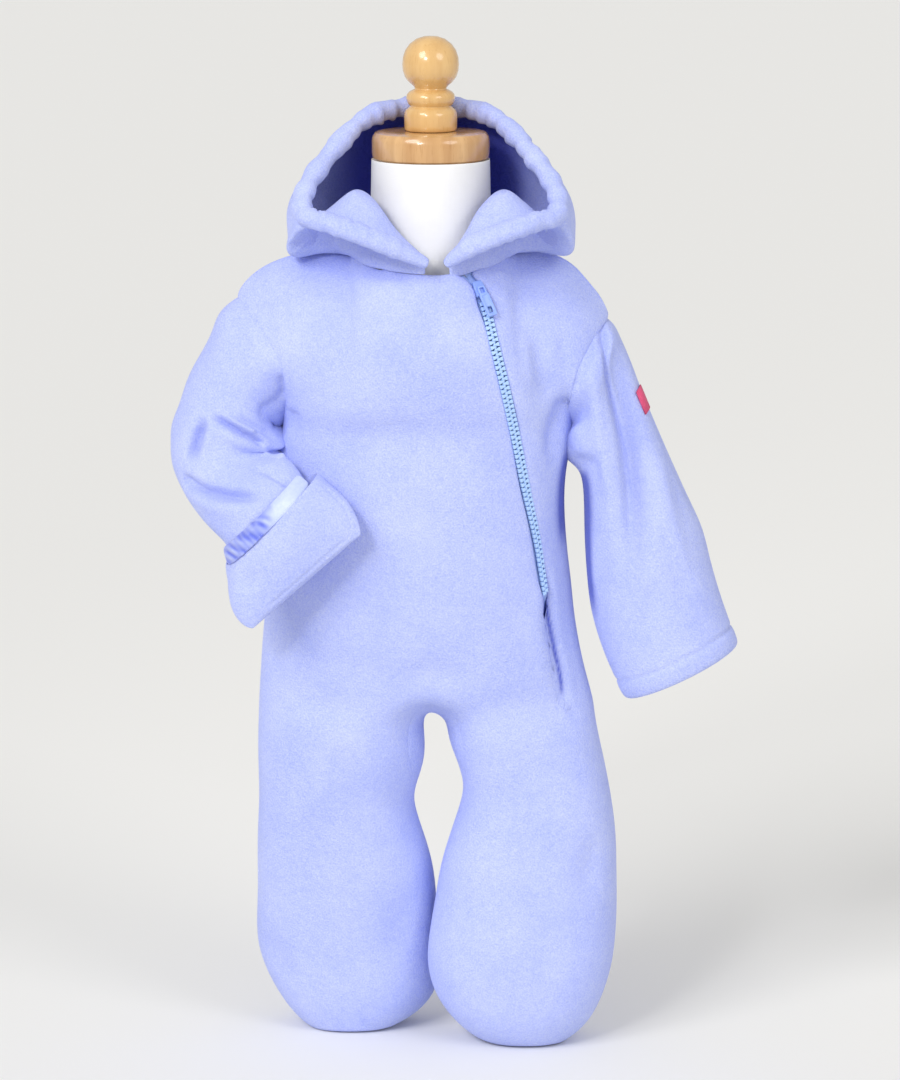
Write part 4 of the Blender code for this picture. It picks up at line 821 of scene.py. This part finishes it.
def zipAcross(height):
    rows = zipParts["line"]
    step = 0
    while step < len(rows) - 2 and rows[step + 1][0] < height:
        step += 1
    before, after = rows[max(step - 1, 0)], rows[min(step + 2, len(rows) - 1)]
    a, b = rows[step], rows[step + 1]
    t = (height - a[0]) / (b[0] - a[0])
    leave = (b[1] - before[1]) / (b[0] - before[0]) * (b[0] - a[0])
    reach = (after[1] - a[1]) / (after[0] - a[0]) * (b[0] - a[0])
    return ((2 * t ** 3 - 3 * t * t + 1) * a[1] + (t ** 3 - 2 * t * t + t) * leave
            + (3 * t * t - 2 * t ** 3) * b[1] + (t ** 3 - t * t) * reach)


def zipLine(heights):
    # where the zip's middle runs at each height, held to the line's own ends
    low, high = zipParts["within"]
    return np.array([zipAcross(min(max(height, low), high)) for height in heights])


def chainFrames():
    # places along the middle of the chain's outer face, evenly spaced
    tree = surfaceTree(cadNodes["zip_chain"])
    spots = []
    for n in range(400):
        height = zipParts["low"] + (zipParts["high"] - zipParts["low"]) * n / 399
        start = Vector((zipAcross(height) * mm, -1, height * mm))
        hit = tree.ray_cast(start, Vector((0, 1, 0)))
        if hit[0] is not None:
            spots.append((hit[0], hit[1]))
    frames, run, due = [], 0.0, 0.4 * mm
    for (a, m), (b, n) in zip(spots, spots[1:]):
        gap = (b - a).length
        while run + gap >= due:
            t = (due - run) / gap
            frames.append([a.lerp(b, t), (m.lerp(n, t)).normalized()])
            due += zipParts["pitch"] * mm / 2
        run += gap
    for n, entry in enumerate(frames):
        around = frames[max(0, n - 6):n + 7]
        entry.append((around[-1][0] - around[0][0]).normalized())
        entry.append(sum((f[1] for f in around), Vector()).normalized())
    return frames


def makeTooth():
    # one moulded tooth: a foot on the tape, a neck and a wider head
    size = zipParts
    dropSelection()
    bpy.ops.mesh.primitive_cube_add(size=1, location=(0, 0, 0))
    tooth = bpy.context.object
    tooth.name = "tooth"
    whole = [size[key] * mm for key in ("toothLong", "foot", "toothDeep")]
    reshape(tooth, lambda: bpy.ops.transform.resize(value=whole))
    shape = bmesh.new()
    shape.from_mesh(tooth.data)
    half = size["toothLong"] * mm / 2
    for where in (-0.25, 0.12, 0.38):
        geometry = shape.verts[:] + shape.edges[:] + shape.faces[:]
        bmesh.ops.bisect_plane(shape, geom=geometry, plane_co=(where * 2 * half, 0, 0),
                               plane_no=(1, 0, 0))
    for vert in shape.verts:
        share = vert.co.x / (2 * half)
        width = size["foot"] if share < 0 else size["neck"] if share < 0.25 else size["head"]
        if share > 0.45:
            width = size["head"] * 0.72
        vert.co.y = math.copysign(width * mm / 2, vert.co.y)
        if share > 0.45:
            vert.co.z *= 0.8
    shape.to_mesh(tooth.data)
    shape.free()
    rim = tooth.modifiers.new("softEdges", "BEVEL")
    rim.width = 0.22 * mm
    rim.segments = 2
    rim.limit_method = "ANGLE"
    rim.angle_limit = math.radians(40)
    pick(tooth)
    bpy.ops.object.modifier_apply(modifier="softEdges")
    bpy.ops.object.shade_smooth_by_angle(angle=math.radians(50))
    return tooth


def copyAt(model, place, across, along, outward):
    copy = model.copy()
    copy.data = model.data.copy()
    bpy.context.scene.collection.objects.link(copy)
    turn = Matrix((across, along, outward)).transposed().to_4x4()
    copy.data.transform(Matrix.Translation(place) @ turn)
    return copy


def joinAll(pieces, name):
    dropSelection()
    for piece in pieces:
        piece.select_set(True)
    bpy.context.view_layer.objects.active = pieces[0]
    bpy.ops.object.join()
    joined = bpy.context.object
    joined.name = joined.data.name = name
    return joined


tooth = makeTooth()
teeth = []
for n, (spot, _, along, outward) in enumerate(chainFrames()):
    outward = (outward - along * outward.dot(along)).normalized()
    across = along.cross(outward)
    side = 1 if n % 2 else -1
    cover = max(0.0, 1 - (spot.z / mm - zipParts["low"]) / zipParts["coverReach"])
    spot = spot + across * cover * zipParts["coverShift"] * mm * (1 if across.x > 0 else -1)
    across = across * (1 - 0.38 * cover)
    # a tooth reaches from its own tape past the middle of the chain
    place = spot + across * side * 1.18 * mm - outward * (zipParts["toothDeep"] / 2 - 0.15) * mm
    teeth.append(copyAt(tooth, place, across * -side, along * -side, outward))
    if n % 2:
        bead = copyAt(tooth, spot - outward * 1.75 * mm, along, -across, outward)
        teeth.append(bead)
bpy.data.objects.remove(tooth)
chain = joinAll(teeth, "mouldedTeeth")
chain.data.materials.clear()
chain.data.materials.append(toothPlastic)
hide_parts("zip_chain")
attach(chain, "suit")
print("teeth", len(teeth), "faces", len(chain.data.polygons))

# ---- the hang of the cloth, drawn here and there ----


def placeAt(across, down, depth):
    # the place behind a spot of the camera's view, at this depth in mm
    start, way = camera.matrix_world.translation, sightLine(across, down)
    return start + way * ((depth * mm - start.y) / way.y)


def draw(name, spot, reach, move, where=None):
    # moves the cloth around a spot softly; reach and move are in mm
    piece = cloth[name]
    points = readPoints(piece)
    far = np.linalg.norm(points - np.array(placeAt(*spot)), axis=1) / (reach * mm)
    share = np.exp(-far ** 2)
    if where is not None:
        share = share * where(points)
    writePoints(piece, points + share[:, None] * np.array(move) * mm)


def besideZip(points):
    # one for cloth right of the zip as worn, nothing for what lies past it
    across = np.array([zipAcross(z / mm) for z in points[:, 2]])
    return np.clip((across - 1.5 - points[:, 0] / mm) / 1.5, 0, 1)


both = ("frontPanel", "backPanel")
for names, spot, reach, move in (
        (("leftSleeve",), (579, 432, 4), 15, (-7.5, 0, -1.5)),
        (("leftSleeve",), (577, 450, 4), 10, (-4.5, 0, -2.0)),
        (both, (566, 430, 2), 13, (2.6, 0, 0)),
        (("rightSleeve",), (275, 451, -38), 10, (5.0, 0, 5.2)),
        (("rightSleeve",), (280, 443, -18), 11, (2.6, 0, -4.8)),
        (("rightSleeve",), (277, 452, -6), 12, (5.0, 0, 0)),
        (("rightSleeve",), (177, 424, 2), 11, (-2.0, 0, 0)),
        (("frontPanel",), (283, 448, -4), 7, (-2.4, 0, 0)),
        (("frontPanel",), (281, 451, 0), 8, (-2.4, 0, 0)),
        (("backPanel",), (281, 451, 4), 9, (-3.0, 0, 0)),
        (("rightSleeve",), (190, 372, 6), 20, (-2.4, 0, 0)),
        (("rightSleeve",), (222, 300, 8), 10, (2.0, 0, -0.6)),
        (("leftSleeve",), (614, 312, 8), 14, (-4.6, 0, -1.4)),
        (both, (594, 283, 6), 15, (-2.0, 0, -2.4)),
        (both, (615, 302, 8), 9, (-2.4, 0, 0.0)),
        (("leftSleeve",), (622, 320, 8), 12, (-2.8, 0, 0))):
    for name in names:
        draw(name, spot, reach, move)
draw("frontPanel", (466, 285, -34), 9, (3.6, -0.4, 0), besideZip)
draw("frontPanel", (458, 277, -34), 6, (2.6, -0.4, 0.4), besideZip)
draw("leftHoodHalf", (462, 268, -36), 10, (0.5, 0, -2.8))
points = readPoints(cloth["frontPanel"])
height = points[:, 2] / mm
beside = (points[:, 0] - zipLine(height) * mm) / mm
closing = np.clip((300 - height) / 14, 0, 1) * np.clip((height - 204) / 10, 0, 1)
closing *= (points[:, 1] < 0)
closing *= np.clip(0.35 + 0.65 * (height - 215) / 70, 0.35, 1)
left = np.exp(-(np.minimum(beside, 0) / 9) ** 2) * (beside < 0) * closing
right = np.exp(-(np.maximum(beside, 0) / 7) ** 2) * (beside >= 0) * closing
# below the teeth the two edges already meet, so neither moves past the other
opening = np.clip((height - 276) / 14, 0, 1)
room = 0.85 * np.clip(3.5 * opening ** 2 * (3 - 2 * opening) - 0.2, 0, None)
points[:, 0] += (np.minimum(1.9 * left, room) - np.minimum(0.8 * right, room)) * mm
writePoints(cloth["frontPanel"], points)
for name in ("rightZipTape", "leftZipTape"):
    # under the closed slash the tapes lie deeper than the crease
    points = readPoints(cloth[name])
    sunk = np.clip((0.287 - points[:, 2]) / 0.009, 0, 1)[:, None]
    writePoints(cloth[name], points + sunk * np.array((-0.6, 0.8, 0)) * 3.6 * mm)
for name, drop, top, fadeDown, inner in (
        ("rightHoodHalf", 3.0, 0.532, 0.024, 0.030), ("leftHoodHalf", 2.2, 0.532, 0.024, 0.030),
        ("hoodCasing", 1.5, 0.528, 0.02, 0.05)):
    # the hood's sides rest on the shoulders
    points = readPoints(cloth[name])
    low = np.clip((top - points[:, 2]) / fadeDown, 0, 1)
    wideOut = np.clip((np.abs(points[:, 0] - middleX * mm) - inner) / 0.03, 0, 1)
    points[:, 2] -= eased(low) * wideOut * drop * mm
    writePoints(cloth[name], points)

# the left sleeve's hem: a sewn groove and the turned cloth below it
hemLine = {"place": (135.5, 0, 248.6), "way": (-0.434, 0, 0.901), "groove": 1.0,
           "wide": 1.0, "swell": 0.35}
points = readPoints(cloth["leftSleeve"])
ways = outwardWays(cloth["leftSleeve"], points, cores["leftSleeve"])
above = ((points - np.array(hemLine["place"]) * mm) @ np.array(hemLine["way"])) / mm
swell = np.clip((-above - 1.5) / 2.5, 0, 1) * hemLine["swell"]
groove = hemLine["groove"] * np.exp(-(above / hemLine["wide"]) ** 2)
writePoints(cloth["leftSleeve"], points + ways * ((swell - groove) * mm)[:, None])

# little light reaches the slash or the cloth between sleeve and side, so shade is painted there,
# with a painted shadow of the flap beside the slash
shaded = {"slash": (224, 293), "core": 0.0, "halfWidth": 1.25, "lap": 4.0, "lapShade": 0.22,
          "side": (314, 386), "sleeve": (270, 386)}
# painted soft shade along the deepest folds
valleys = [  # soft shade along the deepest folds
    {"piece": "leftSleeve", "wide": 6, "shade": 0.30, "fade": (0.15, 0.4),
     "seen": [(612, 330), (620, 372), (628, 420), (635, 475), (638, 530), (638, 590)]},
    {"piece": "rightSleeve", "wide": 3.6, "shade": 0.34, "fade": (0.3, 0.3),
     "seen": [(207, 416), (198, 434), (193, 450), (189, 466)]},
    {"piece": "rightSleeve", "wide": 3.4, "shade": 0.26, "fade": (0.1, 0.35),
     "seen": [(181, 478), (199, 489), (222, 494), (246, 496), (268, 499)]},
    {"piece": "rightSleeve", "wide": 2.0, "shade": 0.34, "fade": (0.05, 0.4),
     "seen": [(283, 452), (262, 443), (242, 432), (222, 421), (206, 415)]},
    {"piece": "rightSleeve", "wide": 7, "shade": 0.20, "fade": (0.3, 0.3),
     "seen": [(268, 360), (274, 384), (276, 404)]},
]


def windowOf(values, low, high, fade):
    return np.clip((values - low) / fade, 0, 1) * np.clip((high - values) / fade, 0, 1)


def shadeBy(piece, share):
    # the share of painted shade, kept in the mesh for its material
    paintedShade = piece.data.attributes.new("paintedShade", "FLOAT", "POINT")
    paintedShade.data.foreach_set("value", np.clip(share, 0, 1).astype(np.float32))


points = readPoints(cloth["frontPanel"]) / mm
beside = points[:, 0] - zipLine(points[:, 2])
run = windowOf(points[:, 2], *shaded["slash"], 5) * (points[:, 1] < 0)
line = np.exp(-((beside - shaded["core"]) / shaded["halfWidth"]) ** 2)
lap = np.exp(-(beside / shaded["lap"]) ** 2) * (beside > 0) * shaded["lapShade"]
slashShade = run * np.maximum(line, lap)
for name, turn, window in (("frontPanel", 1, "side"), ("backPanel", 1, "side"),
                           ("leftSleeve", -1, "sleeve"), ("rightSleeve", 0, "sleeve")):
    points = readPoints(cloth[name]) / mm
    share = np.clip((turn * readNormals(cloth[name])[:, 0] - 0.80) / 0.12, 0, 1)
    share *= (points[:, 0] > 50) * np.clip((points[:, 1] + 16) / 8, 0, 1)
    share *= windowOf(points[:, 2], *shaded[window], 16) * 0.85
    if name == "frontPanel":
        share = np.maximum(share, slashShade)
    tree = surfaceTree(cloth[name])
    for valley in valleys:
        if valley["piece"] == name:
            far, along = nearLine(points * mm, curved(layOn(tree, valley)))
            fade = windowOf(along, 0, 1, max(valley["fade"]))
            share = np.maximum(share, valley["shade"] * fade
                               * np.exp(-(far / valley["wide"] / mm) ** 2))
    shadeBy(cloth[name], share)

# the mitten's mouth and its satin edge sit a little down the hand
mouth = {"place": (-115.6, -49, 347.8), "way": (0.66, -0.18, -0.73), "slide": 6.2, "reach": 36,
         "along": (-0.70, 0.0, -0.71), "shorten": 5.5}
way = np.array(mouth["way"])
points = readPoints(cloth["foldedMitten"])
beyond = (points - np.array(mouth["place"]) * mm) @ way
share = eased(1 - np.clip(beyond / (mouth["reach"] * mm), 0, 1))
writePoints(cloth["foldedMitten"], points + share[:, None] * way * mouth["slide"] * mm)
points = readPoints(cloth["satinBinding"])
low, high = points[:, 0].min(), points[:, 0].max()
share = (points[:, 0] - low) / (high - low)
points = points + way * mouth["slide"] * mm
points += share[:, None] * np.array(mouth["along"]) * mouth["shorten"] * mm
writePoints(cloth["satinBinding"], points)
for name in ("foldedMitten", "satinBinding"):
    draw(name, (228, 560, -40), 15, (-2.6, 0, 0))
draw("rightSleeve", (222, 545, -38), 12, (-1.2, 0, 0))
print("cloth drawn into place")

# ---- the hood's gathered edge ----
casingShape = {
    "edge": [(3, -54, 505), (19.5, -57, 514), (34.5, -60, 521), (48, -60, 526), (62, -56, 530),
             (77, -46, 534), (78, -33, 546), (66, -14, 564), (39, 13, 589), (0, 30, 596)],
    "sunk": 7.5, "pitch": 9.4, "height": 0.85, "fine": 0.4,
    "inside": (-0.0154, 0.0, 0.535),
}


def gatherCasing(piece):
    left = curved([Vector(((x + middleX) * mm, (y + middleY) * mm, (z - casingShape["sunk"]) * mm))
                   for x, y, z in casingShape["edge"]])
    right = [Vector((middleX * mm * 2 - p.x, p.y, p.z)) for p in left]
    points = readPoints(piece)
    for side, line in ((1, left), (-1, right)):
        mine = (points[:, 0] - middleX * mm) * side >= 0
        chosen = points[mine]
        _, along = nearLine(chosen, line)
        total = sum((b - a).length for a, b in zip(line, line[1:])) / mm
        run = along * total
        spots = np.array(line)
        place = np.clip(along * (len(line) - 1), 0, len(line) - 1.001)
        base = spots[place.astype(int)]
        onward = spots[place.astype(int) + 1]
        core = base + (onward - base) * (place % 1)[:, None]
        # the way out of the casing, square to its own line
        step = onward - base
        step /= np.linalg.norm(step, axis=1)[:, None]
        away = chosen - core
        away -= (away * step).sum(1)[:, None] * step
        away /= np.maximum(np.linalg.norm(away, axis=1), 1e-6)[:, None]
        inward = (away * (np.array(casingShape["inside"]) - chosen)).sum(1) > 0
        wave = np.sin(2 * np.pi * run / casingShape["pitch"] + 1.4 * np.sin(run / 17 + side)
                      + 0.9 * np.sin(run / 41))
        fine = np.sin(2 * np.pi * run / 4.7 + 2.0 * np.sin(run / 11 + 2 * side))
        strength = 0.6 + 0.4 * np.sin(run / 23 + 0.7 * side)
        start = np.clip((run - 20) / 70, 0.12, 1)
        move = (wave * casingShape["height"] * strength
                + fine * casingShape["fine"] * strength ** 2)
        move *= start * np.where(inward, 1.0, 0.55) * mm
        points[mine] = chosen + away * move[:, None]
    writePoints(piece, points)


def closeOnCloth(piece, others, far, gap):
    # the casing's open edges are laid onto the hood's cloth
    trees = [surfaceTree(other) for other in others]
    for point in piece.data.vertices:
        best = None
        for tree in trees:
            spot, _, _, distance = tree.find_nearest(point.co, far * mm)
            if spot is not None and (best is None or distance < best[1]):
                best = (spot, distance)
        if best is None or best[1] < gap * mm:
            continue
        share = min(1.0, 1.6 * (1 - (best[1] / mm - gap) / (far - gap)))
        move = (best[1] - gap * mm) * share * share * (3 - 2 * share) * 0.85
        point.co += (best[0] - point.co).normalized() * move
    piece.data.update()


gatherCasing(cloth["hoodCasing"])
for far, gap in ((4.6, 0.35), (3.6, 0.15), (3.0, 0.1)):
    closeOnCloth(cloth["hoodCasing"], (cloth["rightHoodHalf"], cloth["leftHoodHalf"]), far, gap)
print("casing gathered")

for name in ("rightHoodHalf", "leftHoodHalf"):
    # the inner wall of the hood takes the fleece with painted shade towards its back
    piece = cloth[name]
    piece.data.materials.append(hoodShadeFleece)
    points = readPoints(piece)
    ways = outwardWays(piece, points, cores["hood"])
    for face in piece.data.polygons:
        if face.normal.dot(Vector(ways[face.vertices[0]])) < -0.2:
            face.material_index = 1

# ---- the satin binding's wrinkles ----
satinWaves = {"pitch": 8.3, "height": 0.8, "from": 0.42, "wider": 2.2,
              "up": (-0.7151, 0, 0.699)}


def wrinkleSatin(piece):
    # smooth at its upper end, in slanting wrinkles at its lower end
    pick(piece)
    finer = piece.modifiers.new("finer", "SUBSURF")
    finer.levels = finer.render_levels = 1
    bpy.ops.object.modifier_apply(modifier="finer")
    points = readPoints(piece)
    low, high = points[:, 0].min(), points[:, 0].max()
    lower = 1 - (points[:, 0] - low) / (high - low)
    strength = np.clip((lower - satinWaves["from"]) / 0.2, 0.12, 1)
    lean = np.array((-0.70, 0.0, -0.71)) * 0.94 + np.array((0.70, 0.0, -0.71)) * 0.35
    run = points @ lean / mm
    slant = points @ np.array((0.70, 0, -0.71)) / mm
    wave = np.sin(2 * np.pi * (run + 0.5 * slant) / satinWaves["pitch"]
                  + 1.9 * np.sin(run / 4.7 + 0.6))
    wave += 0.6 * np.sin(2 * np.pi * (run - 0.3 * slant) / 4.1 + 2.2 * np.sin(run / 6.3 + 2.0))
    wave *= 0.75 + 0.25 * np.sin(run / 2.3 + slant / 3)
    # the upper edge tucks unevenly under the sleeve
    up = points @ np.array(satinWaves["up"])
    upper = (up - up.min()) / (up.max() - up.min())
    points += upper[:, None] * np.array(satinWaves["up"]) * satinWaves["wider"] * mm
    points[:, 1] -= wave * strength * satinWaves["height"] * mm * (0.4 + 0.6 * upper)
    tuck = np.clip((upper - 0.62) / 0.38, 0, 1) ** 2
    points[:, 1] += tuck * (3.4 + 2.4 * np.sin(run / 4.1 + 1.0)) * mm
    writePoints(piece, points)
    # painted shade: the lower end is darker, most of all in the troughs of the wrinkles
    shadeBy(piece, np.clip((lower - 0.38) / 0.14, 0, 1) * np.clip(0.70 - 0.30 * wave, 0.15, 1))


wrinkleSatin(cloth["satinBinding"])
print("satin wrinkled")

# ---- stitches ----
stitchSizes = {
    "hem": {"long": 2.3, "every": 3.2, "thick": 0.34},
    "binding": {"long": 1.3, "every": 1.9, "thick": 0.26},
    "collar": {"long": 1.8, "every": 2.7, "thick": 0.3},
}


def makeStitch(size):
    dropSelection()
    bpy.ops.mesh.primitive_uv_sphere_add(segments=8, ring_count=6, radius=0.5 * mm)
    stitch = bpy.context.object
    whole = (size["thick"], size["long"], size["thick"] * 0.8)
    reshape(stitch, lambda: bpy.ops.transform.resize(value=whole))
    bpy.ops.object.shade_smooth()
    return stitch


def sewAlong(name, line, ways, size, sink=0.1):
    # stitches one after another along a line on the cloth
    stitch = makeStitch(size)
    made, run, due = [], 0.0, size["every"] * mm / 2
    for (a, m), (b, n) in zip(zip(line, ways), zip(line[1:], ways[1:])):
        gap = (b - a).length
        while gap > 0 and run + gap >= due:
            t = (due - run) / gap
            outward = m.lerp(n, t).normalized()
            along = (b - a).normalized()
            outward = (outward - along * outward.dot(along)).normalized()
            place = a.lerp(b, t) - outward * sink * mm
            made.append(copyAt(stitch, place, along.cross(outward), along, outward))
            due += size["every"] * mm
        run += gap
    bpy.data.objects.remove(stitch)
    row = joinAll(made, name)
    row.data.materials.clear()
    row.data.materials.append(thread)
    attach(row, "suit")
    print("stitches", name, len(made))
    return row


def ringOn(piece, place, normal):
    # the longest outline where a plane cuts the piece, with its normals
    shape = bmesh.new()
    shape.from_mesh(piece.data)
    everything = shape.verts[:] + shape.edges[:] + shape.faces[:]
    cut = bmesh.ops.bisect_plane(shape, geom=everything, plane_co=place, plane_no=normal)
    shape.normal_update()
    loose = {e for e in cut["geom_cut"] if isinstance(e, bmesh.types.BMEdge)}
    rings = []
    while loose:
        edge = loose.pop()
        walk = [edge.verts[0], edge.verts[1]]
        growing = True
        while growing:
            growing = False
            for nextEdge in walk[-1].link_edges:
                if nextEdge in loose:
                    loose.discard(nextEdge)
                    walk.append(nextEdge.other_vert(walk[-1]))
                    growing = True
                    break
        rings.append([(v.co.copy(), v.normal.copy()) for v in walk])
    shape.free()
    rings.sort(key=lambda ring: sum((a[0] - b[0]).length for a, b in zip(ring, ring[1:])))
    return rings[-1]


def pathOn(piece, fold):
    # a smooth line laid on the cloth, with the cloth's normals
    tree = surfaceTree(piece)
    found = [tree.find_nearest(spot) for spot in curved(layOn(tree, fold), 12)]
    return [spot[0] for spot in found], [spot[1] for spot in found]


hem = ringOn(cloth["leftSleeve"], Vector(hemLine["place"]) * mm, Vector(hemLine["way"]))
sewAlong("hemStitches", *zip(*hem), stitchSizes["hem"])
bandPlace = (Vector(mouth["place"]) + Vector(mouth["way"]) * mouth["slide"]) * mm
band = ringOn(cloth["satinBinding"], bandPlace, -Vector(satinWaves["up"]))
front = [(p, n) for p, n in band if n.dot(Vector((-0.35, -0.93, -0.1))) > 0.15]
front.sort(key=lambda entry: entry[0].x)
sewAlong("bindingStitches", *zip(*front), stitchSizes["binding"], 0.06)
collar = {"seen": [(469, 258), (476, 247), (486, 237), (500, 229), (510, 226)]}
sewAlong("collarStitches", *pathOn(cloth["leftHoodHalf"], collar), stitchSizes["collar"])

# ---- the slider and its pull ----
sliderFrame = [Vector(zipParts[key]) for key in ("left", "up", "out")]
low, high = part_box("zip_pull")
sliderFoot = (low + high) / 2 + (sliderFrame[1] * 9.3 - sliderFrame[2] * 3.85) * mm


def toSlider(piece):
    # from the slider's own place to its place on the zip
    turn = Matrix(sliderFrame).transposed().to_4x4()
    piece.data.transform(Matrix.Translation(sliderFoot) @ turn)


def block(size, place, name="block"):
    dropSelection()
    bpy.ops.mesh.primitive_cube_add(size=1, location=[c * mm for c in place])
    piece = bpy.context.object
    piece.name = name
    reshape(piece, lambda: bpy.ops.transform.resize(value=[c * mm for c in size]))
    bpy.ops.object.transform_apply(location=True, rotation=True, scale=True)
    return piece


def cutAcross(piece, heights):
    # adds edges right across the piece at these heights
    reshape(piece, *(lambda at=height: bpy.ops.mesh.bisect(plane_co=(0, at * mm, 0),
                                                           plane_no=(0, 1, 0))
                     for height in heights))


def narrow(piece, test, factor):
    # draws in the width of what the test picks
    for vert in piece.data.vertices:
        if test(vert.co / mm):
            vert.co.x *= factor


def combine(piece, tools, how):
    for tool in tools:
        step = piece.modifiers.new("shape", "BOOLEAN")
        step.object = tool
        step.operation = how
        step.solver = "EXACT"
        pick(piece)
        bpy.ops.object.modifier_apply(modifier="shape")
        bpy.data.objects.remove(tool)


def roundEdges(piece, width, segments=3, angle=35):
    rim = piece.modifiers.new("rim", "BEVEL")
    rim.width = width * mm
    rim.segments = segments
    rim.limit_method = "ANGLE"
    rim.angle_limit = math.radians(angle)
    pick(piece)
    bpy.ops.object.modifier_apply(modifier="rim")
    bpy.ops.object.shade_smooth_by_angle(angle=math.radians(40))


sliderSizes = {"width": 7.0, "length": 9.4, "plate": 1.15, "base": -2.0, "crown": 2.6}


def makeSlider():
    size = sliderSizes
    plates = []
    for name, middle in (("topPlate", size["crown"] - size["plate"] / 2),
                         ("backPlate", size["base"] + size["plate"] / 2)):
        plate = block((size["width"], size["length"], size["plate"]), (0, 0, middle), name)
        cutAcross(plate, (1.2, -2.6))
        narrow(plate, lambda c: c.y > 4, 0.82)
        narrow(plate, lambda c: c.y < -2, 0.9)
        narrow(plate, lambda c: c.y < -4, 0.86)
        plates.append(plate)
    walls = []
    for side in (-1, 1):
        for tall, middle in ((1.3, size["crown"] - size["plate"] - 0.5),
                             (1.1, size["base"] + size["plate"] + 0.4)):
            walls.append(block((0.8, 6.4, tall), (side * 2.75, -1.4, middle), "sideWall"))
    wedge = block((1.5, 3.2, 2.6), (0, 2.7, 0.3), "wedge")
    narrow(wedge, lambda c: c.y < 2, 0.4)
    for piece in plates + walls + [wedge]:
        roundEdges(piece, 0.32 if piece in plates else 0.18)
    # the bridge is a flat bar bent over the top plate
    dropSelection()
    bpy.ops.mesh.primitive_plane_add(size=1)
    bridge = bpy.context.object
    reshape(bridge,
            lambda: bpy.ops.transform.resize(value=(1.9 * mm, 0.75 * mm, 1)),
            lambda: bpy.ops.transform.translate(value=(0, 2.75 * mm, 0)),
            lambda: bpy.ops.mesh.spin(steps=14, angle=math.pi, center=(0, 0, 0),
                                      axis=(1, 0, 0)),
            lambda: bpy.ops.mesh.normals_make_consistent(inside=False))
    for vert in bridge.data.vertices:
        vert.co.z = vert.co.z * 0.86 + (size["crown"] - 0.3) * mm
        vert.co.y = vert.co.y * 1.06
    bpy.ops.object.shade_smooth_by_angle(angle=math.radians(40))
    slider = joinAll(plates + walls + [wedge, bridge], "zipSlider")
    slider.data.materials.clear()
    slider.data.materials.append(plastic)
    toSlider(slider)
    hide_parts("zip_slider")
    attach(slider, "suit")


def makePull():
    bar = sliderSizes["crown"] + 1.25
    pull = block((6.2, 20.0, 1.3), (0, -9.3, bar), "zipPull")
    cutAcross(pull, (-1.0, -4.4, -5.6, -17.6))
    narrow(pull, lambda c: c.y > -5.0, 0.80)
    narrow(pull, lambda c: c.y > 0.3, 0.86)
    narrow(pull, lambda c: c.y < -19, 0.84)
    eye = block((2.9, 3.5, 4), (0, -2.3, bar), "eye")
    grip = block((2.9, 4.2, 4), (0, -15.2, bar), "grip")
    panel = block((3.9, 12.6, 0.8), (0, -12.0, bar + 0.75), "panel")
    under = block((3.9, 12.6, 0.8), (0, -12.0, bar - 0.75), "under")
    for tool in (eye, grip, panel, under):
        roundEdges(tool, 0.4, 2)
    combine(pull, (eye, grip, panel, under), "DIFFERENCE")
    roundEdges(pull, 0.24, 3)
    pull.data.materials.clear()
    pull.data.materials.append(plastic)
    toSlider(pull)
    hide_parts("zip_pull")
    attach(pull, "zip_pull")


makeSlider()
makePull()
print("slider and pull made")

# the tapes run up behind the neck seam
for name in ("rightZipTape", "leftZipTape"):
    points = readPoints(cloth[name])
    top = points[:, 2].max()
    share = np.clip((points[:, 2] - (top - 0.006)) / 0.006, 0, 1)
    points += share[:, None] * np.array(zipParts["up"]) * 4.5 * mm
    writePoints(cloth[name], points)

# ---- floor ----


def makeFloor():
    dropSelection()
    bpy.ops.mesh.primitive_plane_add(size=80, location=(0, 0, -0.0005))
    floor = bpy.context.object
    floor.name = "paleFloor"
    material, _, shader = newMaterial("paleFloorPaint", Roughness=0.9)
    shader.inputs["Base Color"].default_value = (*studio["floor"], 1)
    floor.data.materials.append(material)


makeFloor()
